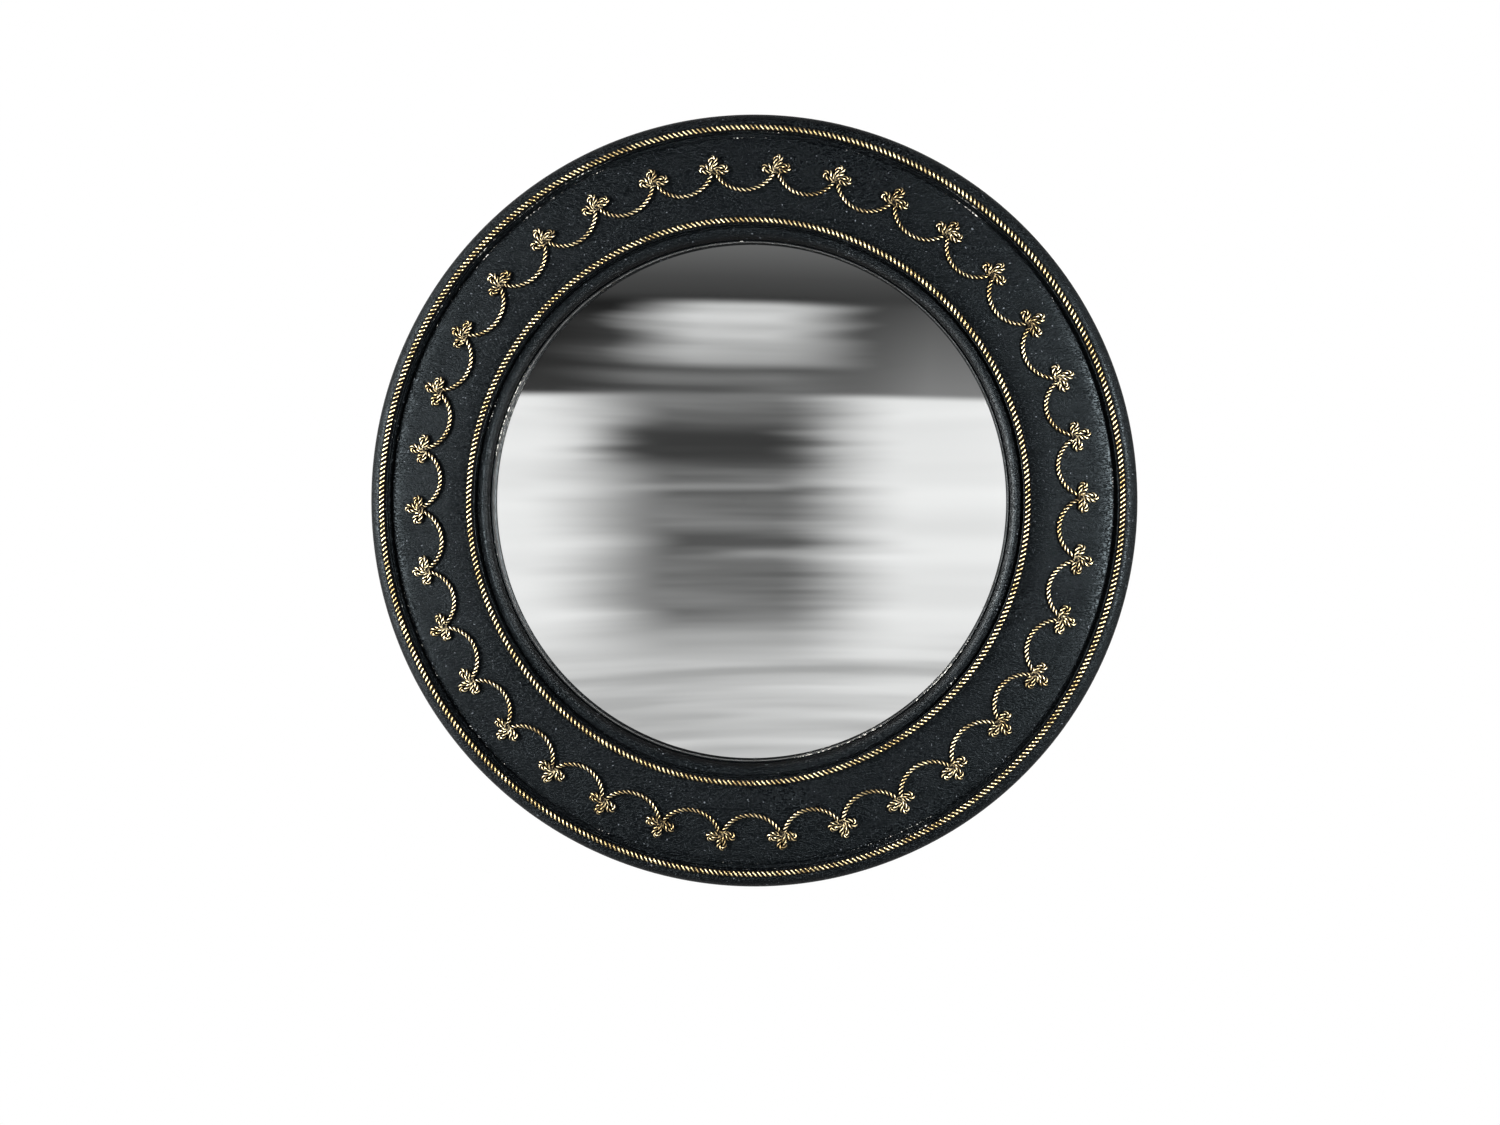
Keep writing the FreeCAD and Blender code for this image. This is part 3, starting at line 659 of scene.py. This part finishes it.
bpy.ops.object.select_all(action="DESELECT")
for rope in repeats:
    rope.select_set(True)
garland = repeats[0]
bpy.context.view_layer.objects.active = garland
bpy.ops.object.transform_apply(location=True, rotation=True, scale=True)
bpy.ops.object.join()
garland.name = "garland_laid"
print("each repeat is", round(length / MM, 1), "mm of rope; faces:", len(garland.data.polygons))

# %% Nudge the knots as a hand would
WANDER = ((0.51, 0.05), (0.27, 0.38))  # degrees, for one and for two waves round the ring
HAND_SHAKE = 0.18
GARLAND_LOWER = 1.1
nudges = []
for k in range(REPEATS):
    angle = FIRST_KNOT + 2 * math.pi * k / REPEATS
    wander = 0.0
    for waves, (upright, level) in enumerate(WANDER, 1):
        wander += upright * math.cos(waves * angle) + level * math.sin(waves * angle)
    nudges.append(math.radians(wander + hand.uniform(-HAND_SHAKE, HAND_SHAKE)))
for vertex in garland.data.vertices:
    x, z = vertex.co.x, vertex.co.z
    place = (math.atan2(x, z) - FIRST_KNOT) / (2 * math.pi / REPEATS)
    k = math.floor(place)
    t = place - k
    t = t * t * (3 - 2 * t)
    nudge = nudges[k % REPEATS] * (1 - t) + nudges[(k + 1) % REPEATS] * t
    c, s = math.cos(nudge), math.sin(nudge)
    vertex.co.x, vertex.co.z = x * c + z * s, z * c - x * s - GARLAND_LOWER * MM
gild_front(garland, frieze_depth, FINE_ROPE, low=0.5, high=0.8)
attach(garland, "mirror_frame")
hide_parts("rope_garland")
garland_reach = max(math.hypot(v.co.x, v.co.z) for v in garland.data.vertices)
print("garland reaches", round(garland_reach / MM, 1), "mm")

# %% [markdown]
# ## Finishes
#
# A finish is a small tree of nodes. These helpers add a node with its settings in one
# line and read the piece's own coordinates, stretched so that a pattern has its real
# size: a scale of 1000 makes features about one millimetre wide.

# %% Write the helpers for finishes
def finish_tree(name):
    """A new material with a shader that is linked to its output."""
    material = bpy.data.materials.new(name)
    tree = nodes_of(material)
    shader = tree.nodes.new("ShaderNodeBsdfPrincipled")
    output = tree.nodes.new("ShaderNodeOutputMaterial")
    tree.links.new(shader.outputs["BSDF"], output.inputs["Surface"])
    return material, tree, shader


def add(tree, kind, settings=None, **sockets):
    """Adds a node, sets its properties and its sockets, or links them."""
    node = tree.nodes.new("ShaderNode" + kind)
    for key, value in (settings or {}).items():
        setattr(node, key, value)
    for key, value in sockets.items():
        index = key.replace("_", " ").strip()
        socket = node.inputs[int(index)] if index.isdigit() else node.inputs[index]
        if isinstance(value, bpy.types.NodeSocket):
            tree.links.new(value, socket)
        else:
            socket.default_value = value
    return node


def pattern_space(tree, scale, shift=(0, 0, 0)):
    """The piece's own coordinates, scaled per axis."""
    own = add(tree, "TexCoord").outputs["Object"]
    return add(tree, "Mapping", Vector=own, Scale=scale, Location=shift).outputs["Vector"]


def noise(tree, scale, detail, roughness, distortion=0.0, shift=(0, 0, 0)):
    """Noise whose features are finer along an axis where the scale is larger."""
    space = pattern_space(tree, scale, shift)
    node = add(tree, "TexNoise", Vector=space, Scale=1.0, Detail=detail, Roughness=roughness)
    node.inputs["Distortion"].default_value = distortion
    return node.outputs["Fac"]


def ramp(tree, value, stops):
    """A colour ramp with (position, grey or colour) stops."""
    node = add(tree, "ValToRGB", _0=value)
    elements = node.color_ramp.elements
    while len(elements) < len(stops):
        elements.new(0.5)
    for element, (position, colour) in zip(elements, stops):
        element.position = position
        grey = isinstance(colour, (int, float))
        element.color = (colour, colour, colour, 1) if grey else (*colour, 1)
    return node.outputs["Color"]


def blend(tree, amount, first, second, mode="MIX"):
    """Mixes two colours or greys: an amount of 0 gives the first, 1 the second."""
    node = add(tree, "Mix", {"data_type": "RGBA", "blend_type": mode})
    for index, value in ((0, amount), (6, first), (7, second)):
        socket = node.inputs[index]
        if isinstance(value, bpy.types.NodeSocket):
            tree.links.new(value, socket)
        elif isinstance(value, tuple):
            socket.default_value = (*value, 1)
        else:
            socket.default_value = value
    return node.outputs[2]


def maths(tree, operation, first, second=0.0, third=0.0):
    """One step of arithmetic."""
    node = add(tree, "Math", {"operation": operation}, _0=first, _1=second, _2=third)
    return node.outputs[0]


def stored(tree, name):
    """A value that was stored on each point of the piece."""
    return add(tree, "Attribute", {"attribute_name": name}).outputs["Fac"]


def bump(tree, height, distance, strength, after=None):
    """A bumped normal, on top of another one where given."""
    node = add(tree, "Bump", Height=height, Distance=distance, Strength=strength)
    if after is not None:
        tree.links.new(after, node.inputs["Normal"])
    return node.outputs["Normal"]


def wear_finish(piece, material):
    """Dresses a piece in one material."""
    piece.data.materials.clear()
    piece.data.materials.append(material)


print("helpers ready")

# %% [markdown]
# ## Blue-black paint over open grain
#
# The paint is thin, so the pores of the wood show through it as short dashes that all
# run level across the frame, with a few flat arches of growth rings. Both come from
# noise stretched along X. The paint is satin, a little rougher in the pores. It has
# chipped to bare pale ground at a few edges, the corner by the slip is painted almost
# black and less shiny as painted shade, and a few specks of dust lie on it. The back has
# a slightly paler coat with a broader sheen.

# %% Mix the paint
BARE_GROUND, PAINTED_SHADE_TONE, DUST = (0.36, 0.35, 0.32), (0.0015, 0.0015, 0.0015), (0.045, 0.05, 0.055)


def open_grain_paint(name, dark, light, roughness, chips=1.0, grain=1.0, shine=0.062):
    """Thin paint from a dark to a light tone, over wood whose pores and rings show."""
    material, tree, shader = finish_tree(name)
    arches = noise(tree, (3.2, 12, 17), 3.0, 0.55, 0.4)
    rings = maths(tree, "PINGPONG", maths(tree, "MULTIPLY", arches, 26.0), 1.0)
    fine = noise(tree, (380, 800, 950), 2.0, 0.6, 0.3)
    dashes = ramp(tree, fine, [(0.46, 0.0), (0.62, 1.0)])
    crowd = ramp(tree, rings, [(0.1, 0.7), (0.9, 1.0)])
    pores = blend(tree, 1.0, dashes, crowd, "MULTIPLY")
    cloud = noise(tree, (9, 9, 16), 3.0, 0.6)
    tone = blend(tree, cloud, dark, light)
    tone = blend(tree, pores, tone, tuple(c * 0.35 for c in dark))
    wear_and_shade = stored(tree, "wear_and_shade")
    speck = noise(tree, (620, 620, 620), 2.0, 0.6, shift=(3, 1, 2))
    patches = noise(tree, (16, 16, 16), 1.0, 0.5, shift=(5, 2, 9))
    bare = maths(tree, "MULTIPLY", maths(tree, "MULTIPLY", wear_and_shade, speck), patches)
    bare = ramp(tree, maths(tree, "MULTIPLY", bare, chips), [(0.40, 0.0), (0.43, 1.0)])
    tone = blend(tree, bare, tone, BARE_GROUND)
    # Negative stored values give painted shade: the corner by the slip goes almost black and loses
    # most of its sheen.
    painted_shade = maths(tree, "MULTIPLY", wear_and_shade, -0.8)
    painted_shade = maths(tree, "MAXIMUM", painted_shade, 0.0)
    tone = blend(tree, painted_shade, tone, PAINTED_SHADE_TONE)
    motes = noise(tree, (640, 640, 640), 0.0, 0.5, shift=(8, 3, 4))
    tone = blend(tree, ramp(tree, motes, [(0.815, 0.0), (0.84, 1.0)]), tone, DUST)
    tree.links.new(tone, shader.inputs["Base Color"])
    sheen = maths(tree, "MULTIPLY_ADD", painted_shade, -0.055, shine)
    tree.links.new(sheen, shader.inputs["Specular IOR Level"])
    shader.inputs["Specular Tint"].default_value = (0.78, 0.93, 1.0, 1)
    gloss = ramp(tree, cloud, [(0.25, roughness - 0.06), (0.75, roughness + 0.08)])
    gloss = blend(tree, pores, gloss, (0.38, 0.38, 0.38))
    tree.links.new(gloss, shader.inputs["Roughness"])
    dust = noise(tree, (420, 420, 420), 2.0, 0.5)
    normal = bump(tree, dust, 0.00003, 0.5)
    normal = bump(tree, maths(tree, "MULTIPLY", rings, -1.0), 0.00003, 0.4 * grain, normal)
    normal = bump(tree, maths(tree, "MULTIPLY", pores, -1.0), 0.0003, 1.0 * grain, normal)
    tree.links.new(normal, shader.inputs["Normal"])
    return material


paint = open_grain_paint(
    "ebonised_wood_paint", (0.0001, 0.0002, 0.0003), (0.0003, 0.0004, 0.0006), roughness=0.29
)
slip_paint = open_grain_paint(
    "black_slip_paint",
    (0.0002, 0.0002, 0.0003),
    (0.0003, 0.0004, 0.0005),
    roughness=0.34,
    chips=1.12,
    grain=0.35,
)
back_paint = open_grain_paint(
    "back_ring_paint", (0.0006, 0.0009, 0.0012), (0.002, 0.0026, 0.0032), roughness=0.36, shine=0.15
)
wear_finish(face_ring, paint)
wear_finish(slip, slip_paint)
for material_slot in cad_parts["back_ring"].material_slots:
    material_slot.material = back_paint
print("paints:", paint.name, slip_paint.name, back_paint.name)

# %% [markdown]
# ## Gilding on the crowns, with black paint and painted shade in the grooves
#
# Only the crowns of the strands are gold: the grooves and the foot of each rope are near black,
# partly black paint and partly painted shade.
# The height stored on each point of the rope decides which is which, and a little noise
# breaks up the border.

# %% Gild the ropes
# The grooves and the foot of each rope: black paint deepened into painted shade.
GROOVE_PAINT_AND_SHADE = (0.0008, 0.0006, 0.0005)
GILDED_FROM, BORDER = 0.9, 0.05


def gilding_with_shaded_grooves(name, deep, pale):
    """Gold from a deep to a pale tone on the crowns of the strands, black in the grooves."""
    material, tree, shader = finish_tree(name)
    broken = noise(tree, (700, 700, 700), 3.0, 0.6)
    uneven = maths(tree, "MULTIPLY_ADD", broken, 0.2, -0.1)
    height = maths(tree, "ADD", stored(tree, "crown"), uneven)
    gilded = ramp(tree, height, [(GILDED_FROM - BORDER, 0.0), (GILDED_FROM + BORDER, 1.0)])
    patches = noise(tree, (60, 60, 60), 3.0, 0.6)
    gold = blend(tree, ramp(tree, patches, [(0.4, 0.0), (0.6, 1.0)]), deep, pale)
    tone = blend(tree, gilded, GROOVE_PAINT_AND_SHADE, gold)
    tree.links.new(tone, shader.inputs["Base Color"])
    tree.links.new(gilded, shader.inputs["Metallic"])
    sheen = maths(tree, "MULTIPLY_ADD", gilded, 0.45, 0.02)
    tree.links.new(sheen, shader.inputs["Specular IOR Level"])
    gloss = blend(tree, gilded, (0.6, 0.6, 0.6), ramp(tree, patches, [(0.3, 0.26), (0.7, 0.4)]))
    tree.links.new(gloss, shader.inputs["Roughness"])
    tree.links.new(bump(tree, broken, 0.00012, 0.5), shader.inputs["Normal"])
    return material


ring_gilding = gilding_with_shaded_grooves("gilt_rope_shaded_grooves", (0.2, 0.14, 0.055), (0.48, 0.39, 0.21))
garland_gilding = gilding_with_shaded_grooves("gilt_garland_shaded_grooves", (0.26, 0.185, 0.08), (0.56, 0.46, 0.27))
for rope in (outer_rope, inner_rope):
    wear_finish(rope, ring_gilding)
wear_finish(garland, garland_gilding)
print("gilded:", ring_gilding.name, garland_gilding.name)

# %% [markdown]
# ## Silvered glass
#
# Old silvering is a mirror with a very slight haze. Near its rim it has begun to spot.

# %% Silver the glass
SPOTTED_FROM = 0.196


def silvering(name):
    """A mirror whose silvering has spotted near the rim."""
    material, tree, shader = finish_tree(name)
    spots = noise(tree, (90, 90, 90), 4.0, 0.65)
    place = add(tree, "SeparateXYZ", _0=pattern_space(tree, (1, 1, 1)))
    across = maths(tree, "POWER", place.outputs["X"], 2.0)
    upward = maths(tree, "POWER", place.outputs["Z"], 2.0)
    from_middle = maths(tree, "SQRT", maths(tree, "ADD", across, upward))
    edge = maths(tree, "SUBTRACT", from_middle, SPOTTED_FROM)
    edge = maths(tree, "MULTIPLY", edge, 60.0)
    spotted = ramp(tree, maths(tree, "ADD", spots, edge), [(0.86, 0.0), (1.0, 1.0)])
    tone = blend(tree, spotted, (0.86, 0.87, 0.865), (0.2, 0.19, 0.17))
    tree.links.new(tone, shader.inputs["Base Color"])
    shader.inputs["Metallic"].default_value = 1.0
    haze = ramp(tree, spotted, [(0.0, 0.035), (1.0, 0.3)])
    tree.links.new(haze, shader.inputs["Roughness"])
    return material


wear_finish(glass, silvering("silvered_glass_old"))
print("silvered:", glass.name)

# %% [markdown]
# ## The back and its fittings
#
# The board is old brown plywood, the buttons are stamped brass that has dulled, and the
# hangers and screws are plated steel. Each finish has a colour that varies in soft
# clouds, fine scratches or fibres along one direction, and a roughness that follows them.

# %% Finish the back
def everyday_finish(name, dark, light, metallic, roughness, fibre, depth):
    """A finish with clouds of colour, fibres or scratches, and a little bump."""
    material, tree, shader = finish_tree(name)
    clouds = noise(tree, (45, 45, 45), 4.0, 0.6)
    lines = noise(tree, fibre, 3.0, 0.6)
    cloudy = maths(tree, "MULTIPLY", clouds, 0.6)
    mixed = maths(tree, "ADD", cloudy, maths(tree, "MULTIPLY", lines, 0.4))
    tone = blend(tree, ramp(tree, mixed, [(0.38, 0.0), (0.62, 1.0)]), dark, light)
    worn = ramp(tree, clouds, [(0.6, 0.0), (0.75, 1.0)])
    tone = blend(tree, maths(tree, "MULTIPLY", worn, 0.4), tone, tuple(c * 0.5 for c in dark))
    tree.links.new(tone, shader.inputs["Base Color"])
    shader.inputs["Metallic"].default_value = metallic
    smooth, rough = max(roughness - 0.1, 0.05), min(roughness + 0.12, 1.0)
    gloss = ramp(tree, mixed, [(0.35, smooth), (0.65, rough)])
    tree.links.new(gloss, shader.inputs["Roughness"])
    tree.links.new(bump(tree, lines, depth, 0.6), shader.inputs["Normal"])
    return material


fittings = {
    "backboard": everyday_finish(
        "plywood", (0.11, 0.055, 0.026), (0.21, 0.115, 0.058), 0.0, 0.75, (500, 500, 500), 0.0001
    ),
    "glass_blocks": everyday_finish(
        "softwood", (0.33, 0.2, 0.09), (0.52, 0.35, 0.18), 0.0, 0.7, (900, 60, 900), 0.0001
    ),
    "felt_ring": everyday_finish(
        "black_felt", (0.006, 0.006, 0.006), (0.02, 0.02, 0.02), 0.0, 0.95, (1500, 1500, 1500), 0.0002
    ),
    "wall_pads": everyday_finish(
        "pad_rubber", (0.018, 0.017, 0.016), (0.04, 0.038, 0.036), 0.0, 0.8, (900, 900, 900), 0.0001
    ),
    "turn_button": everyday_finish(
        "stamped_brass", (0.36, 0.23, 0.08), (0.62, 0.44, 0.18), 1.0, 0.38, (250, 2500, 250), 0.00003
    ),
    "strap": everyday_finish(
        "plated_steel", (0.42, 0.41, 0.38), (0.62, 0.6, 0.56), 1.0, 0.36, (2500, 2500, 200), 0.00003
    ),
    "hanger_ring": everyday_finish(
        "ring_steel", (0.4, 0.4, 0.39), (0.58, 0.58, 0.57), 1.0, 0.3, (1200, 1200, 1200), 0.00003
    ),
    "screws": everyday_finish(
        "screw_steel", (0.36, 0.35, 0.32), (0.6, 0.58, 0.53), 1.0, 0.34, (1800, 1800, 1800), 0.00004
    ),
}
for node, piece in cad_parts.items():
    for fitting, finish in fittings.items():
        if fitting in node:
            for material_slot in piece.material_slots:
                material_slot.material = finish
            print(node, "->", finish.name)

# %% [markdown]
# ## What the glass reflects
#
# A convex mirror shows the whole room in front of it. Here that is a plain soft studio,
# painted on the inside of half a sphere that only glossy rays can see: pale walls, a dim
# ceiling with one window of light, a dark beam, and a soft dark place in the middle
# where the camera stands. It is stretched sideways into streaks. Two strong glows lie far
# to the left and right, outside what the glass shows, and only put highlights on the ropes
# and the paint.
# Across and upward are given as shares of the sphere's radius.

# %% Make the soft studio
STUDIO_RADIUS = 3.4
LEFT_GLOW, RIGHT_GLOW = 14.0, 6.5
bpy.ops.object.select_all(action="DESELECT")
bpy.ops.mesh.primitive_uv_sphere_add(segments=96, ring_count=48, radius=STUDIO_RADIUS)
studio = bpy.context.object
studio.name = "soft_studio"
bpy.ops.object.mode_set(mode="EDIT")
bpy.ops.mesh.select_all(action="SELECT")
bpy.ops.mesh.bisect(plane_co=(0, -0.2, 0), plane_no=(0, 1, 0), clear_outer=True)
bpy.ops.mesh.select_all(action="SELECT")
bpy.ops.mesh.flip_normals()
bpy.ops.object.mode_set(mode="OBJECT")
bpy.ops.object.shade_smooth()
studio.visible_camera = False
studio.visible_diffuse = False
studio.visible_shadow = False
studio.visible_transmission = False


def window(tree, value, low, high, soft):
    """1 where the value lies between low and high, with soft edges."""
    rise = add(tree, "MapRange", {"interpolation_type": "SMOOTHSTEP"}, Value=value)
    fall = add(tree, "MapRange", {"interpolation_type": "SMOOTHSTEP"}, Value=value)
    for node, edge, first, last in ((rise, low, 0, 1), (fall, high, 1, 0)):
        node.inputs["From Min"].default_value = edge - soft
        node.inputs["From Max"].default_value = edge + soft
        node.inputs["To Min"].default_value = first
        node.inputs["To Max"].default_value = last
    return maths(tree, "MULTIPLY", rise.outputs["Result"], fall.outputs["Result"])


def patch(tree, place, width, height, soft):
    """A soft rectangle of directions, given as (low, high) pairs across and upward."""
    across = window(tree, place[0], *width, soft[0])
    upward = window(tree, place[1], *height, soft[1])
    return maths(tree, "MULTIPLY", across, upward)


def studio_light(name):
    """The painted walls, as a light whose colour changes with the direction."""
    material = bpy.data.materials.new(name)
    tree = nodes_of(material)
    ball = add(tree, "SeparateXYZ", _0=pattern_space(tree, (1 / STUDIO_RADIUS,) * 3))
    streaks = noise(tree, (0.2, 0.2, 5), 1.0, 0.5)
    fine = noise(tree, (0.3, 0.3, 8), 3.0, 0.45, shift=(2, 5, 1))
    slide = maths(tree, "MULTIPLY_ADD", fine, 0.24, -0.12)
    off_axis = maths(tree, "POWER", maths(tree, "ADD", ball.outputs["X"], 0.12), 2.0)
    bend = maths(tree, "MULTIPLY_ADD", off_axis, 0.25, 1.0)
    level = maths(tree, "MULTIPLY", ball.outputs["Z"], bend)
    place = (maths(tree, "ADD", ball.outputs["X"], slide), level)
    still = (ball.outputs["X"], level)
    tone = ramp(tree, streaks, [(0.3, 0.86), (0.7, 0.98)])
    low = window(tree, still[1], -2.0, -0.34, 0.05)
    tone = blend(tree, low, tone, ramp(tree, fine, [(0.35, 0.5), (0.65, 0.85)]))
    ceiling = window(tree, still[1], 0.247, 2.0, 0.01)
    dim = ramp(tree, still[0], [(0.0, 0.035), (0.3, 0.23)])
    dim = blend(tree, 1.0, dim, ramp(tree, still[1], [(0.27, 1.0), (0.45, 0.4)]), "MULTIPLY")
    tone = blend(tree, ceiling, tone, dim)
    bright = patch(tree, place, (-0.31, 0.06), (0.31, 0.448), (0.12, 0.012))
    tone = blend(tree, bright, tone, ramp(tree, fine, [(0.35, 0.62), (0.65, 0.82)]))
    top = window(tree, still[1], 0.455, 2.0, 0.014)
    tone = blend(tree, top, tone, ramp(tree, still[1], [(0.46, 0.05), (0.5, 0.075), (0.6, 0.19)]))
    beam = patch(tree, place, (-3.0, 0.06), (0.262, 0.292), (0.2, 0.02))
    tone = blend(tree, maths(tree, "MULTIPLY", beam, 0.85), tone, (0.04, 0.04, 0.04))
    stand = patch(tree, place, (-0.44, 0.11), (-0.33, 0.34), (0.16, 0.12))
    shade = ramp(tree, fine, [(0.35, 0.1), (0.65, 0.25)])
    tone = blend(tree, stand, tone, shade)
    heart = patch(tree, place, (-0.42, 0.02), (0.09, 0.18), (0.1, 0.025))
    tone = blend(tree, maths(tree, "MULTIPLY", heart, 0.9), tone, (0.035, 0.035, 0.035))
    for height, left, right in ((0.035, -0.42, 0.0), (-0.118, -0.15, 0.28)):
        streak = patch(tree, still, (left, right), (height - 0.002, height + 0.002), (0.08, 0.012))
        tone = blend(tree, maths(tree, "MULTIPLY", streak, 0.7), tone, (0.7, 0.7, 0.7))
    left_glow = window(tree, still[0], -2.0, -0.8, 0.06)
    tone = blend(tree, left_glow, tone, (LEFT_GLOW,) * 3)
    right_glow = window(tree, still[0], 0.76, 2.0, 0.08)
    tone = blend(tree, right_glow, tone, (RIGHT_GLOW,) * 3)
    light = add(tree, "Emission", Color=tone, Strength=1.0)
    output = add(tree, "OutputMaterial")
    tree.links.new(light.outputs[0], output.inputs["Surface"])
    return material


wear_finish(studio, studio_light("soft_studio_walls"))
print("studio:", len(studio.data.polygons), "faces")

# %% [markdown]
# ## The floor
#
# The floor lies far below the mirror. It is white to the camera and to glossy rays, like
# the world, and pale grey to the rest.

# %% Lay the pale floor
bpy.ops.object.select_all(action="DESELECT")
bpy.ops.mesh.primitive_plane_add(size=12, location=(0, -1, -2.2))
floor = bpy.context.object
floor.name = "pale_floor"
floor_material = bpy.data.materials.new("pale_floor")
tree = nodes_of(floor_material)
mix = white_to_camera(tree, "ShaderNodeEmission")
pale = add(tree, "BsdfDiffuse", Color=(0.7, 0.7, 0.7, 1))
tree.links.new(pale.outputs[0], mix.inputs[1])
out = add(tree, "OutputMaterial")
tree.links.new(mix.outputs[0], out.inputs["Surface"])
wear_finish(floor, floor_material)
print("floor:", floor.name)
